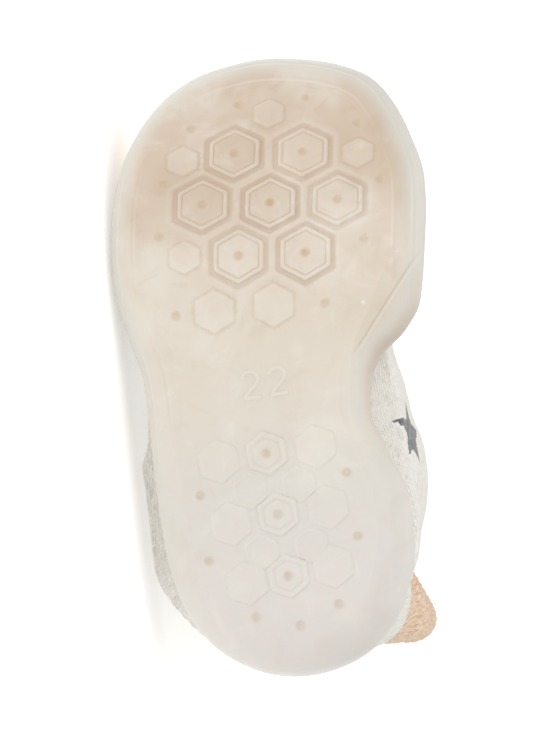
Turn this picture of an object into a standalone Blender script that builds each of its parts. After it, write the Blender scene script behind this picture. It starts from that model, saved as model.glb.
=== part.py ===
"""A child's slipper sock: a knitted sock with a moulded rubber cup sole.

The shoe is drawn in the frame of its last, in millimetres: x from the heel to
the toe, y towards the inner side of the foot, z up from the tread. It is a
right shoe. It lies on its outer side: the ball's side wall and the slack side
of the sock touch the floor, and the tread faces -Y with the toe towards -X.
"""
import math

import bmesh
import bpy
import numpy as np
from mathutils import Matrix, Vector

MM = 0.001

# ------------------------------------------------------------ named sizes, mm
SOLE_LENGTH = 142.7        # outside of the cup, heel to toe
FLOOR_THICK = 3.2          # rubber under the foot
WALL_THICK = 2.5           # rubber at the sides, at the height of the foot's edge
LIP_THICK = 1.4            # rubber at the lip
LUG_HEIGHT = 0.7           # hexagonal tread blocks
GAP = 0.52                 # between pieces that touch
HEEL_ROOM = 0.6            # the sock's heel keeps this much further from the cup
KNIT = 1.8                 # thickness of the knitted wall
CUFF_EXTRA = 0.7           # the ribbed cuff is thicker by this much
INSOLE_THICK = 2.0
MARGIN_UP = 0.40           # insole above the turned-in edge
INSOLE_TOE_ROOM = 2.6      # the insole's toe keeps this much further from the sock
FLOOR_YAW = 0.125          # slope of the resting plane along the shoe
FLOOR_ROLL = -0.12         # slope of the resting plane up the shoe
FLOOR_AT = (45.0, -34.6, 22.0)   # a point of the resting plane, on the sock

# Outline of the cup at its widest, and how far inside it the tread face ends.
PLAN = [  # x, outer side, inner side, tread inset outer, tread inset inner
    (2.0, 9.3, 11.4, 7.0, 7.0),
    (7.0, 17.5, 19.6, 7.0, 7.0),
    (16.0, 24.2, 25.4, 7.2, 7.2),
    (28.0, 28.3, 27.9, 7.2, 7.2),
    (40.0, 30.4, 26.6, 6.8, 7.0),
    (52.0, 32.0, 20.8, 6.0, 6.0),
    (60.0, 33.0, 17.4, 5.4, 3.8),
    (66.0, 34.1, 17.3, 5.5, 3.6),
    (72.0, 36.2, 19.4, 6.0, 5.4),
    (78.0, 38.5, 24.7, 6.3, 8.8),
    (85.0, 40.8, 28.0, 6.3, 9.4),
    (94.0, 42.2, 28.5, 5.6, 6.4),
    (104.0, 42.6, 28.3, 5.3, 5.4),
    (114.0, 41.7, 27.3, 5.4, 5.6),
    (124.0, 38.3, 23.6, 6.4, 6.4),
    (132.0, 33.2, 19.2, 7.4, 7.4),
    (138.0, 25.8, 13.6, 7.8, 7.8),
    (141.4, 16.6, 5.2, 7.8, 7.8),
]
HEEL_Y, TOE_Y = 0.6, -7.6

# Slope of the tread in degrees along the shoe: heel lift, flat, toe spring.
SPRING = [  # x, degrees
    (0.0, -20.0), (10.0, -12.0), (22.0, 0.0), (84.0, 0.0), (102.0, 18.0),
    (113.0, 21.0), (125.0, 24.0), (135.0, 30.0), (144.0, 38.0),
]

# Height of the side wall above the tread: at its widest, and at the lip.
WALL = [  # x, widest, lip
    (0.0, 8.8, 14.5), (25.0, 8.5, 13.8), (50.0, 8.0, 12.0), (66.0, 8.0, 11.6),
    (85.0, 8.4, 12.6), (110.0, 9.0, 14.0), (128.0, 9.5, 15.0), (144.0, 9.8, 15.5),
]

# How steeply the side wall leaves the tread on the inner side, in degrees: a
# crease beside the arch, and soft elsewhere, as on the outer side.
CREASE = [(0.0, 10.0), (50.0, 10.0), (64.0, 27.0), (84.0, 27.0), (96.0, 10.0), (144.0, 10.0)]

# Sections of the sock. Each lies in a plane from its front or top end to its
# back or bottom end; outer and inner are its sides where it is widest, at the
# fractions s_out and s_in of the way down; round_up and round_down say how
# square it is above and below (2 is an ellipse).
SECTIONS = [
    # name, front x, z, y, back x, z, y, outer, inner, s_out, s_in, up, down
    ("toe cap", 138.2, 33.0, -7.6, 137.4, 24.0, -7.6, -18.5, 4.0, .50, .50, 2.1, 2.1),
    ("toe", 135.8, 38.2, -7.6, 134.2, 18.0, -7.6, -28.0, 13.0, .55, .55, 2.1, 2.8),
    ("toes", 130.5, 42.3, -7.6, 129.0, 14.0, -7.6, -34.5, 19.2, .60, .60, 2.2, 3.6),
    ("toe joint", 121.0, 44.4, -7.6, 120.0, 10.0, -7.6, -38.2, 23.6, .62, .62, 2.2, 4.5),
    ("ball front", 110.0, 45.2, -7.4, 110.0, 6.5, -7.4, -39.8, 25.6, .64, .64, 2.2, 5.0),
    ("ball", 99.5, 46.4, -7.0, 99.0, 3.0, -7.0, -40.2, 26.2, .64, .64, 2.2, 5.0),
    ("vamp", 90.0, 48.4, -6.4, 88.0, 1.0, -6.4, -38.8, 25.6, .63, .63, 2.2, 5.0),
    ("instep", 81.5, 51.6, -5.6, 76.0, 1.0, -5.6, -36.0, 19.2, .60, .60, 2.2, 5.0),
    ("throat", 75.0, 55.2, -4.6, 63.0, 1.0, -4.6, -34.5, 22.0, .58, .56, 2.2, 4.6),
    ("waist", 71.0, 58.2, -3.8, 49.0, 1.0, -3.8, -34.1, 24.0, .59, .54, 2.2, 4.2),
    ("arch", 68.6, 60.4, -3.0, 33.0, 1.0, -3.0, -36.4, 26.4, .60, .52, 2.2, 4.0),
    ("heel seat", 67.2, 61.8, -2.4, 16.0, 1.0, -1.4, -35.0, 27.2, .60, .50, 2.2, 3.4),
    ("heel", 66.2, 63.0, -2.0, 4.4, 7.0, 0.4, -30.8, 25.0, .60, .48, 2.2, 2.7),
    ("heel back", 65.4, 64.2, -1.6, 3.2, 22.0, 1.4, -26.4, 21.2, .54, .48, 2.2, 2.3),
    ("ankle back", 64.8, 65.4, -1.4, 5.8, 39.0, 3.0, -23.4, 18.6, .48, .50, 2.2, 2.1),
    ("ankle", 64.2, 66.8, -2.2, 10.2, 52.0, 6.0, -20.0, 18.2, .44, .56, 2.2, 2.0),
    ("cuff foot", 63.2, 68.6, -5.0, 15.0, 62.0, 13.2, -17.0, 20.2, .44, .70, 2.1, 2.0),
    ("cuff", 61.8, 73.4, -8.0, 17.6, 71.0, 16.8, -14.2, 21.4, .45, .79, 2.0, 1.95),
    ("collar", 60.6, 80.0, -10.0, 18.6, 79.0, 17.1, -13.2, 21.7, .46, .80, 2.0, 1.92),
]
RINGS = {"vamp": 3, "instep": 5, "throat": 5, "waist": 4, "arch": 3, "heel seat": 4, "heel": 3}
TOP_STEPS = 7                          # points on a quarter of a section, above
DOWN_SIDE = (0.0, 0.2, 0.38, 0.54, 0.68, 0.8)        # heights below the widest
ACROSS_FLOOR = (0.90, 0.73, 0.49, 0.24, 0.0)         # then widths, as parts of the last
BOTTOM_STEPS = len(DOWN_SIDE) + len(ACROSS_FLOOR) - 1
HOLE_STEPS = 3                         # of them left out on the bottom
HOLE_FROM, HOLE_TO = "toe joint", "heel seat"
TOE_POLE = (138.9, -7.6, 28.6)
LIP_CLEAR, LIP_ROOM = 1.6, 9.0         # the sock widens from this far above the lip, over this height
PROUD = 12.0                           # how far the sock may pass the cup's outline

STATIONS = 46                          # rows along the cup

# Tread blocks: across the flats, turned by degrees, and rows of
# (distance along the tread from the heel, y) for each block.
FORE_TURN, HEEL_TURN = 2.4, -11.0
FORE_ORIGIN, FORE_PITCH = (107.1, -5.8), 15.3
HEEL_ORIGIN, HEEL_PITCH_ALONG, HEEL_PITCH_ACROSS = (35.4, -1.9), 14.0, 11.0
BIG_FLATS, MEDIUM_FLATS, SMALL_FLATS = 10.8, 9.2, 7.3


# ---------------------------------------------------------------- arithmetic
def slopes(t, v):
    """Tangents of a smooth curve through (t, v) that doesn't overshoot."""
    d = np.diff(v) / np.diff(t)
    m = np.empty(len(v))
    m[0], m[-1] = d[0], d[-1]
    for i in range(1, len(v) - 1):
        if d[i - 1] * d[i] <= 0:
            m[i] = 0.0
        else:
            w1 = 2 * (t[i + 1] - t[i]) + (t[i] - t[i - 1])
            w2 = (t[i + 1] - t[i]) + 2 * (t[i] - t[i - 1])
            m[i] = (w1 + w2) / (w1 / d[i - 1] + w2 / d[i])
    return m


def smooth(t, v, q):
    """Value at q of the smooth curve through (t, v)."""
    t, v, q = np.asarray(t, float), np.asarray(v, float), np.asarray(q, float)
    m = slopes(t, v)
    i = np.clip(np.searchsorted(t, q, side="right") - 1, 0, len(t) - 2)
    h = t[i + 1] - t[i]
    u = np.clip((q - t[i]) / h, 0.0, 1.0)
    return ((2 * u**3 - 3 * u**2 + 1) * v[i] + (u**3 - 2 * u**2 + u) * h * m[i]
            + (-2 * u**3 + 3 * u**2) * v[i + 1] + (u**3 - u**2) * h * m[i + 1])


def around(x):
    """Turns a distance along the sole into an angle, so that the ends are round."""
    return np.arccos(np.clip(1 - 2 * np.asarray(x, float) / SOLE_LENGTH, -1, 1))


_px, _po, _pi, _to, _ti = (np.array(c) for c in zip(*PLAN))
_pa = np.concatenate([[0.0], around(_px), [math.pi]])


def plan(a):
    """Outline at angle a: x, outer y, inner y, tread inset outer and inner."""
    x = SOLE_LENGTH * (1 - np.cos(a)) / 2
    out = -smooth(_pa, np.concatenate([[-HEEL_Y], _po, [-TOE_Y]]), a)
    inn = smooth(_pa, np.concatenate([[HEEL_Y], _pi, [TOE_Y]]), a)
    eo = smooth(_pa, np.concatenate([[7.0], _to, [7.8]]), a)
    ei = smooth(_pa, np.concatenate([[7.0], _ti, [7.8]]), a)
    return x, out, inn, eo, ei


_sx = np.linspace(-4.0, 150.0, 3081)
_sd = np.tan(np.radians(smooth(*zip(*SPRING), np.clip(_sx, 0, 144))))
_sz = np.concatenate([[0.0], np.cumsum((_sd[1:] + _sd[:-1]) / 2 * np.diff(_sx))])
_sz -= np.interp(50.0, _sx, _sz)
_arc = np.concatenate([[0.0], np.cumsum(np.hypot(np.diff(_sx), np.diff(_sz)))])
_arc -= np.interp(0.0, _sx, _arc)


def tread_z(x):
    return np.interp(x, _sx, _sz)


def tread_at(s):
    """x of the point s millimetres along the tread from the heel."""
    return np.interp(s, _arc, _sx)


def wall_heights(x):
    xs, w, lip = zip(*WALL)
    return smooth(xs, w, x), smooth(xs, lip, x)


# -------------------------------------------------------------- the cup sole
def cup_profile(e, widest, lip, crease):
    """Rings of the cup as (inset, height), from the tread up over the lip and
    down inside to the floor."""
    rows = []
    for k in range(5):                            # tread edge to the widest line
        a = math.radians(crease + (90 - crease) * k / 4)
        s0, c0 = math.sin(math.radians(crease)), math.cos(math.radians(crease))
        rows.append((e * (1 - (math.sin(a) - s0) / (1 - s0)),
                     widest * (1 - math.cos(a) / c0)))
    for k in (1, 2, 3):                           # widest line to the lip
        a = math.radians(90 * k / 3)
        rows.append((1.5 * (1 - math.cos(a)), widest + (lip - 0.5 - widest) * math.sin(a)))
    rows.append((1.5 + 0.25 * LIP_THICK, lip))
    rows.append((1.5 + 0.75 * LIP_THICK, lip))
    rows.append((1.5 + LIP_THICK, lip - 0.5))
    rows.append((0.6 + WALL_THICK, widest + 0.55 * (lip - widest)))
    rows.append((WALL_THICK, widest))
    rows.append((WALL_THICK + 0.10 * e, 0.62 * widest))
    rows.append((WALL_THICK + 0.42 * e, FLOOR_THICK))
    return rows


def cup_rings():
    """Closed rings of points, one for each row of the profile."""
    angles = np.linspace(0.0, math.pi, STATIONS)
    x, out, inn, eo, ei = plan(angles)
    mid = (out + inn) / 2
    base_x = np.clip(x, 27.0, 106.0)
    rings = None
    for side, y, e in ((0, out, eo), (1, inn, ei)):
        away = np.stack([base_x - x, mid - y], 1)
        away /= np.maximum(np.linalg.norm(away, axis=1), 1e-9)[:, None]
        foot_x = x + away[:, 0] * e                 # x of the tread's edge
        z0 = tread_z(foot_x)
        w, lip = wall_heights(x)
        crease = smooth(*zip(*CREASE), x) if side else np.full(STATIONS, CREASE[0][1])
        columns = []
        for i in range(STATIONS):
            columns.append([(x[i] + away[i, 0] * n, y[i] + away[i, 1] * n, z0[i] + h)
                            for n, h in cup_profile(e[i], w[i], lip[i], crease[i])])
        columns = np.array(columns)                 # station, row, xyz
        rings = [columns] if rings is None else rings + [columns]
    outer, inner = rings
    return [np.concatenate([outer[:, r], inner[1:-1, r][::-1]]) for r in range(outer.shape[1])]


def cap(bm, ring, flip):
    """Fills a ring with strips that cross the shoe."""
    n = STATIONS
    left, right = ring[:n], [ring[0]] + ring[:n - 1:-1] + [ring[n - 1]]
    for i in range(n - 1):
        face = []
        for v in (left[i], left[i + 1], right[i + 1], right[i]):
            if v not in face:
                face.append(v)
        bm.faces.new(face[::-1] if flip else face)


def skin(bm, rings):
    for a, b in zip(rings, rings[1:]):
        for i in range(len(a)):
            j = (i + 1) % len(a)
            bm.faces.new((a[i], b[i], b[j], a[j]))


def finish(bm, name, colour, roughness, transmission=0.0):
    bmesh.ops.recalc_face_normals(bm, faces=bm.faces)
    bmesh.ops.triangulate(bm, faces=bm.faces, quad_method="BEAUTY")
    mesh = bpy.data.meshes.new(name)
    bm.to_mesh(mesh)
    bm.free()
    obj = bpy.data.objects.new(name, mesh)
    bpy.context.collection.objects.link(obj)
    material = bpy.data.materials.new(name)
    material.use_nodes = True
    shader = material.node_tree.nodes["Principled BSDF"]
    shader.inputs["Base Color"].default_value = (*colour, 1.0)
    shader.inputs["Roughness"].default_value = roughness
    shader.inputs["Metallic"].default_value = 0.0
    shader.inputs["Transmission Weight"].default_value = transmission
    mesh.materials.append(material)
    mesh.shade_smooth()
    mesh.set_sharp_from_angle(angle=math.radians(40))
    return obj


def lug_places():
    """Every hexagonal block: (distance along, y, across the flats, turn)."""
    places = []
    t = math.radians(FORE_TURN)
    along, across = (math.cos(t), -math.sin(t)), (math.sin(t), math.cos(t))

    def fore(row, col, flats):
        u, v = row * FORE_PITCH * math.sqrt(3) / 2, col * FORE_PITCH
        places.append((FORE_ORIGIN[0] + along[0] * u + across[0] * v,
                       FORE_ORIGIN[1] + along[1] * u + across[1] * v, flats, FORE_TURN))

    for col in (-1, 0, 1):
        fore(0, col, BIG_FLATS)
    for row in (-1, 1):
        for col in (-0.5, 0.5):
            fore(row, col, BIG_FLATS)
    fore(1, -1.28, SMALL_FLATS)
    fore(1, 1.32, SMALL_FLATS)
    fore(-1, -1.30, SMALL_FLATS)
    fore(1.79, -0.02, SMALL_FLATS)
    fore(-1.92, -0.66, MEDIUM_FLATS)
    fore(-1.86, 0.21, MEDIUM_FLATS)
    t = math.radians(HEEL_TURN)
    along, across = (math.cos(t), math.sin(t)), (-math.sin(t), math.cos(t))
    for row in (-1, 0, 1):
        for col in (-1, 0, 1):
            u, v = row * HEEL_PITCH_ALONG, col * HEEL_PITCH_ACROSS
            places.append((HEEL_ORIGIN[0] + along[0] * u + across[0] * v,
                           HEEL_ORIGIN[1] + along[1] * u + across[1] * v,
                           MEDIUM_FLATS, HEEL_TURN))
    return places


def lugs(bm):
    for s, y, flats, turn in lug_places():
        x = float(tread_at(s))
        slope = math.atan((tread_z(x + 0.5) - tread_z(x - 0.5)))
        along = Vector((math.cos(slope), 0, math.sin(slope)))
        down = Vector((math.sin(slope), 0, -math.cos(slope)))
        centre = Vector((x, y, float(tread_z(x))))
        # where the tread bends away under a block, its edges stand at full height
        reach = flats / 2 / math.cos(math.pi / 6) * math.cos(slope)
        sag = max(float(tread_z(x + d)) - centre.z - d * math.tan(slope)
                  for d in (-reach, 0.0, reach)) * math.cos(slope)
        rows = []
        for depth, shrink in ((-1.2, 0.0), (LUG_HEIGHT - sag, 0.15)):
            radius = (flats / 2 - shrink) / math.cos(math.pi / 6)
            row = []
            for k in range(6):
                a = math.radians(60 * k + turn * (1 if turn < 0 else -1))
                row.append(bm.verts.new(centre + along * radius * math.cos(a)
                                        + Vector((0, 1, 0)) * radius * math.sin(a)
                                        + down * depth))
            rows.append(row)
        skin(bm, rows)
        bm.faces.new(rows[0])
        bm.faces.new(rows[1][::-1])


def make_outsole():
    bm = bmesh.new()
    rings = [[bm.verts.new(p) for p in ring] for ring in cup_rings()]
    skin(bm, rings)
    cap(bm, rings[0], False)
    cap(bm, rings[-1], True)
    cup = finish(bm, "outsole", (0.80, 0.76, 0.70), 0.42, 0.25)
    bm = bmesh.new()
    lugs(bm)
    blocks = finish(bm, "tread_block_guide", (0.8, 0.76, 0.7), 0.42)
    blocks.hide_render = True
    blocks.display_type = "WIRE"
    union = cup.modifiers.new("tread blocks", "BOOLEAN")
    union.operation = "UNION"
    union.solver = "EXACT"
    union.object = blocks
    return cup, blocks


# ------------------------------------------------------------------- the sock
_oa = np.linspace(0.0, math.pi, 181)
_ox, _oo, _oi, _oeo, _oei = plan(_oa)
_outline = np.concatenate([np.stack([_ox, _oo], 1), np.stack([_ox, _oi], 1)[1:-1][::-1]])
_edge_inset = np.concatenate([_oeo, _oei[1:-1][::-1]])


def inside(points):
    """Depth inside the cup's outline, the nearest point of it, the way in from
    there and the tread inset there, for rows of (x, y)."""
    a, b = _outline, np.roll(_outline, -1, 0)
    ab = b - a
    t = np.clip(((points[:, None] - a) * ab).sum(2) / (ab * ab).sum(1), 0, 1)
    near = a + t[..., None] * ab
    d = np.linalg.norm(points[:, None] - near, axis=2)
    k = d.argmin(1)
    row = np.arange(len(points))
    near, d = near[row, k], d[row, k]
    way = np.stack([-ab[k, 1], ab[k, 0]], 1)
    way /= np.linalg.norm(way, axis=1)[:, None]
    sign = np.sign(((points - near) * way).sum(1))
    e = _edge_inset[k] * (1 - t[row, k]) + np.roll(_edge_inset, -1)[k] * t[row, k]
    return d * sign, near, way, e


_resting = Vector((FLOOR_YAW, 1.0, FLOOR_ROLL)).normalized()
_resting_level = _resting.dot(Vector(FLOOR_AT))


def settle(points):
    """Keeps the sock inside the cup, on its floor and above the ground."""
    p = np.array(points, float)
    depth, near, way, e = inside(p[:, :2])
    x = np.clip(p[:, 0], 0, SOLE_LENGTH)
    # height above the tread that lies under this part of the cup's wall
    foot_x = near[:, 0] + way[:, 0] * e
    base = np.where(depth < e, tread_z(np.where((x < 27) | (x > 106), foot_x, x)), tread_z(x))
    h = p[:, 2] - base
    w, lip = wall_heights(x)
    floor_inset = WALL_THICK + 0.42 * e
    mid_inset = WALL_THICK + 0.10 * e
    need = np.where(h < FLOOR_THICK, floor_inset,
                    np.where(h < 0.62 * w,
                             floor_inset + (mid_inset - floor_inset) * (h - FLOOR_THICK) / (0.62 * w - FLOOR_THICK),
                             np.where(h < w,
                                      mid_inset + (WALL_THICK - mid_inset) * (h - 0.62 * w) / (0.38 * w),
                                      WALL_THICK + (1.5 + LIP_THICK - WALL_THICK) * np.clip((h - w) / (lip - 0.5 - w), 0, 1))))
    over = np.clip((h - lip - LIP_CLEAR) / LIP_ROOM, 0, 1)
    over = over * over * (3 - 2 * over)
    need = need + GAP + HEEL_ROOM * np.clip((28 - x) / 12, 0, 1)
    need = need + (-PROUD - need) * over
    push = depth < need
    p[push, :2] = (near + way * need[:, None])[push]
    p[:, 2] = np.maximum(p[:, 2], tread_z(p[:, 0]) + FLOOR_THICK + GAP)
    n = np.array(_resting)
    low = p @ n - _resting_level
    return p - np.minimum(low, 0)[:, None] * n


def sock_rows():
    """Every column of SECTIONS at every ring, smoothed along the sock."""
    t = [i + k / n for i, n in enumerate(RINGS.get(r[0], 2) for r in SECTIONS[:-1])
         for k in range(n)] + [len(SECTIONS) - 1]
    columns = list(zip(*SECTIONS))[1:]
    return np.stack([smooth(range(len(SECTIONS)), c, t) for c in columns], 1)


def ring_of(name):
    """Number of the ring that lies on a named section."""
    names = [r[0] for r in SECTIONS]
    return sum(RINGS.get(n, 2) for n in names[:names.index(name)])


def section(row):
    """Points of one section: over the front or top, down the outer side, across
    the bottom and up the inner side."""
    fx, fz, fy, bx, bz, by, outer, inner, s_out, s_in, up, down = row
    half = []
    for widest, edge in ((s_out, outer), (s_in, inner)):
        side = []
        reach = edge - (fy + (by - fy) * widest)
        for k in range(TOP_STEPS):
            a = math.pi / 2 * k / TOP_STEPS
            side.append((widest * (1 - math.cos(a) ** (2 / up)), math.sin(a) ** (2 / up), reach))
        for u in DOWN_SIDE:
            width = (1 - u**down) ** (1 / down)
            side.append((widest + (1 - widest) * u, width, reach))
        for part in ACROSS_FLOOR:
            g = width * part
            side.append((widest + (1 - widest) * (1 - g**down) ** (1 / down), g, reach))
        half.append(side)
    points = []
    for s, g, reach in half[0] + half[1][-2:0:-1]:
        points.append((fx + (bx - fx) * s, fy + (by - fy) * s + reach * g, fz + (bz - fz) * s))
    return points


def sock_surface():
    rings = np.array([section(row) for row in sock_rows()])
    n, m, _ = rings.shape
    rings = settle(rings.reshape(-1, 3)).reshape(n, m, 3)
    # the ribbed cuff stands a little proud of the knit below it
    first = ring_of("cuff foot")
    centre = rings.mean(1, keepdims=True)
    for i in range(first, n):
        grow = CUFF_EXTRA * min(1.0, (i - first + 1) / 2)
        out = rings[i] - centre[i]
        out[:, 2] = 0
        rings[i] += out / np.linalg.norm(out, axis=1)[:, None] * grow
    rings[first:] = settle(rings[first:].reshape(-1, 3)).reshape(n - first, m, 3)
    return rings


def normals_of(rings, pole):
    """Outward directions at each point, scaled so that an offset keeps its
    thickness at a corner."""
    n, m, _ = rings.shape
    grid = np.concatenate([np.broadcast_to(pole, (1, m, 3)), rings])
    total = np.zeros((n + 1, m, 3))
    parts = []
    for i in range(n):
        j = (np.arange(m) + 1) % m
        a, b, c, d = grid[i], grid[i + 1], grid[i + 1][j], grid[i][j]
        f = np.cross(b - d, c - a)
        f /= np.maximum(np.linalg.norm(f, axis=1), 1e-12)[:, None]
        parts.append((i, j, f))
        total[i] += f
        total[i + 1] += f
        total[i + 1][j] += f
        total[i][j] += f
    total /= np.maximum(np.linalg.norm(total, axis=2), 1e-12)[..., None]
    least = np.ones((n + 1, m))
    for i, j, f in parts:
        for r, k in ((i, np.arange(m)), (i + 1, np.arange(m)), (i + 1, j), (i, j)):
            least[r, k] = np.minimum(least[r, k], (total[r, k] * f).sum(1))
    scale = 1 / np.clip(least, 0.72, 1.0)
    return (total * scale[..., None])[1:]


def make_upper():
    outer = sock_surface()
    n, m, _ = outer.shape
    pole = np.array(TOE_POLE)
    normal = normals_of(outer, pole)
    if (normal[n // 2] * (outer[n // 2] - outer[n // 2].mean(0))).sum() < 0:
        normal = -normal
    inner = outer - normal * KNIT
    floor = tread_z(inner[..., 0]) + FLOOR_THICK + GAP + KNIT
    inner[..., 2] = np.maximum(inner[..., 2], np.where(inner[..., 2] < floor + 0.6, floor, -1e9))
    inner_pole = pole - np.array((KNIT, 0, 0))
    first, last = ring_of(HOLE_FROM) - 1, ring_of(HOLE_TO) + 1
    bottom = TOP_STEPS + BOTTOM_STEPS
    low, high = bottom - HOLE_STEPS, bottom + HOLE_STEPS

    bm = bmesh.new()
    skins = []
    for grid, tip in ((outer, pole), (inner, inner_pole)):
        verts = {}
        for i in range(n):
            for j in range(m):
                if first < i < last and low < j < high:
                    continue
                verts[i, j] = bm.verts.new(grid[i, j])
        skins.append((verts, bm.verts.new(tip)))
    for s, (verts, tip) in enumerate(skins):
        for j in range(m):
            k = (j + 1) % m
            face = (tip, verts[0, k], verts[0, j])
            bm.faces.new(face[::-1] if s else face)
        for i in range(n - 1):
            for j in range(m):
                k = (j + 1) % m
                if first <= i < last and low <= j < high:
                    continue
                face = (verts[i, j], verts[i, k], verts[i + 1, k], verts[i + 1, j])
                bm.faces.new(face[::-1] if s else face)
    (a, _), (b, _) = skins
    for j in range(m):                              # collar edge
        k = (j + 1) % m
        bm.faces.new((a[n - 1, j], a[n - 1, k], b[n - 1, k], b[n - 1, j]))
    rim = ([(i, low) for i in range(first, last)] + [(last, j) for j in range(low, high)]
           + [(i, high) for i in range(last, first, -1)] + [(first, j) for j in range(high, low, -1)])
    for p, q in zip(rim, rim[1:] + rim[:1]):        # edge of the opening underneath
        bm.faces.new((a[p], a[q], b[q], b[p]))
    return finish(bm, "upper", (0.78, 0.75, 0.68), 0.95), outer, inner


# ----------------------------------------------------------------- the insole
def make_insole():
    """A thin sheet on the turned-in edge, a little inside the sock's wall."""
    angles = np.linspace(0.0, math.pi, STATIONS)
    x, out, inn, eo, ei = plan(angles)
    mid = (out + inn) / 2
    base_x = np.clip(x, 27.0, 106.0)
    low = FLOOR_THICK + GAP + KNIT + MARGIN_UP
    rows = []
    for extra, height in ((0.6, low), (0.0, low + 0.5), (0.0, low + INSOLE_THICK - 0.4),
                          (0.5, low + INSOLE_THICK)):
        sides = []
        for y, e in ((out, eo), (inn, ei)):
            away = np.stack([base_x - x, mid - y], 1)
            away /= np.maximum(np.linalg.norm(away, axis=1), 1e-9)[:, None]
            inset = (WALL_THICK + 0.42 * e + GAP + KNIT + 2.0 + extra
                     + INSOLE_TOE_ROOM * np.clip((x - 112) / 18, 0, 1))
            px, py = x + away[:, 0] * inset, y + away[:, 1] * inset
            sides.append(np.stack([px, py, tread_z(px) + height], 1))
        rows.append(np.concatenate([sides[0], sides[1][1:-1][::-1]]))
    bm = bmesh.new()
    rings = [[bm.verts.new(p) for p in row] for row in rows]
    skin(bm, rings)
    cap(bm, rings[0], False)
    cap(bm, rings[-1], True)
    return finish(bm, "insole", (0.72, 0.60, 0.48), 0.9)


# ------------------------------------------------------------------- assembly
def main():
    for obj in list(bpy.data.objects):
        bpy.data.objects.remove(obj, do_unlink=True)
    outsole, blocks = make_outsole()
    upper, _, _ = make_upper()
    insole = make_insole()
    pieces = [outsole, blocks, upper, insole]

    up = _resting
    tread_out = Vector((0, 0, -1))
    back = -(tread_out - up * tread_out.dot(up)).normalized()
    side = back.cross(up)
    turn = Matrix((side, back, up))
    spots = [turn @ v.co for o in pieces for v in o.data.vertices]
    low = [min(p[k] for p in spots) for k in range(3)]
    high = [max(p[k] for p in spots) for k in range(3)]
    shift = Vector((-(low[0] + high[0]) / 2, -(low[1] + high[1]) / 2, -low[2]))

    frame = bpy.data.objects.new("lying_frame", None)
    bpy.context.collection.objects.link(frame)
    frame.matrix_world = Matrix.Translation(shift * MM) @ turn.to_4x4()
    for obj in pieces:
        for v in obj.data.vertices:
            v.co = v.co * MM
        obj.parent = frame
    bpy.context.view_layer.update()


main()
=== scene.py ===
import math

import bpy
import numpy as np
from mathutils import Matrix, Vector, noise
from mathutils.geometry import delaunay_2d_cdt


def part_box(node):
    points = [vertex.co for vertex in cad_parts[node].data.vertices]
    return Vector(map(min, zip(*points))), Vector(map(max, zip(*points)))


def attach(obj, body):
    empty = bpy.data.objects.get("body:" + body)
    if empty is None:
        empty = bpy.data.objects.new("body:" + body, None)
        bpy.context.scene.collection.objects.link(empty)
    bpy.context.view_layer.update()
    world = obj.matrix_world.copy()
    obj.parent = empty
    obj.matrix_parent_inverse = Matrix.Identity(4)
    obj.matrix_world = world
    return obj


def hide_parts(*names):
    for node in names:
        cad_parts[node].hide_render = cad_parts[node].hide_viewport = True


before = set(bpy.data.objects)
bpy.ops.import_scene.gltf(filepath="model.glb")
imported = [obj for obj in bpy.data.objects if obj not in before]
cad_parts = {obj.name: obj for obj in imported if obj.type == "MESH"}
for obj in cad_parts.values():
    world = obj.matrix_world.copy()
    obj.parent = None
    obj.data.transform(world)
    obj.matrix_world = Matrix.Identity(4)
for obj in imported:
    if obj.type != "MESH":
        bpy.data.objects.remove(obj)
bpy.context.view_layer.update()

MM = 0.001

# ------------------------------------------------ sizes shared with the solids
SOLE_LENGTH = 142.7
FLOOR_THICK = 3.2
WALL_THICK = 2.5
LIP_THICK = 1.4
GAP = 0.52
HEEL_ROOM = 0.6
KNIT = 1.8
CUFF_EXTRA = 0.7
INSOLE_THICK = 2.0
MARGIN_UP = 0.40
INSOLE_TOE_ROOM = 2.6
FLOOR_YAW = 0.125
FLOOR_ROLL = -0.12
FLOOR_AT = (45.0, -34.6, 22.0)

PLAN = [  # x, outer side, inner side, tread inset outer, tread inset inner
    (2.0, 9.3, 11.4, 7.0, 7.0),
    (7.0, 17.5, 19.6, 7.0, 7.0),
    (16.0, 24.2, 25.4, 7.2, 7.2),
    (28.0, 28.3, 27.9, 7.2, 7.2),
    (40.0, 30.4, 26.6, 6.8, 7.0),
    (52.0, 32.0, 20.8, 6.0, 6.0),
    (60.0, 33.0, 17.4, 5.4, 3.8),
    (66.0, 34.1, 17.3, 5.5, 3.6),
    (72.0, 36.2, 19.4, 6.0, 5.4),
    (78.0, 38.5, 24.7, 6.3, 8.8),
    (85.0, 40.8, 28.0, 6.3, 9.4),
    (94.0, 42.2, 28.5, 5.6, 6.4),
    (104.0, 42.6, 28.3, 5.3, 5.4),
    (114.0, 41.7, 27.3, 5.4, 5.6),
    (124.0, 38.3, 23.6, 6.4, 6.4),
    (132.0, 33.2, 19.2, 7.4, 7.4),
    (138.0, 25.8, 13.6, 7.8, 7.8),
    (141.4, 16.6, 5.2, 7.8, 7.8),
]
HEEL_Y, TOE_Y = 0.6, -7.6
SPRING = [  # x, degrees
    (0.0, -20.0), (10.0, -12.0), (22.0, 0.0), (84.0, 0.0), (102.0, 18.0),
    (113.0, 21.0), (125.0, 24.0), (135.0, 30.0), (144.0, 38.0),
]
WALL = [  # x, widest, lip
    (0.0, 8.8, 14.5), (25.0, 8.5, 13.8), (50.0, 8.0, 12.0), (66.0, 8.0, 11.6),
    (85.0, 8.4, 12.6), (110.0, 9.0, 14.0), (128.0, 9.5, 15.0), (144.0, 9.8, 15.5),
]

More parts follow.
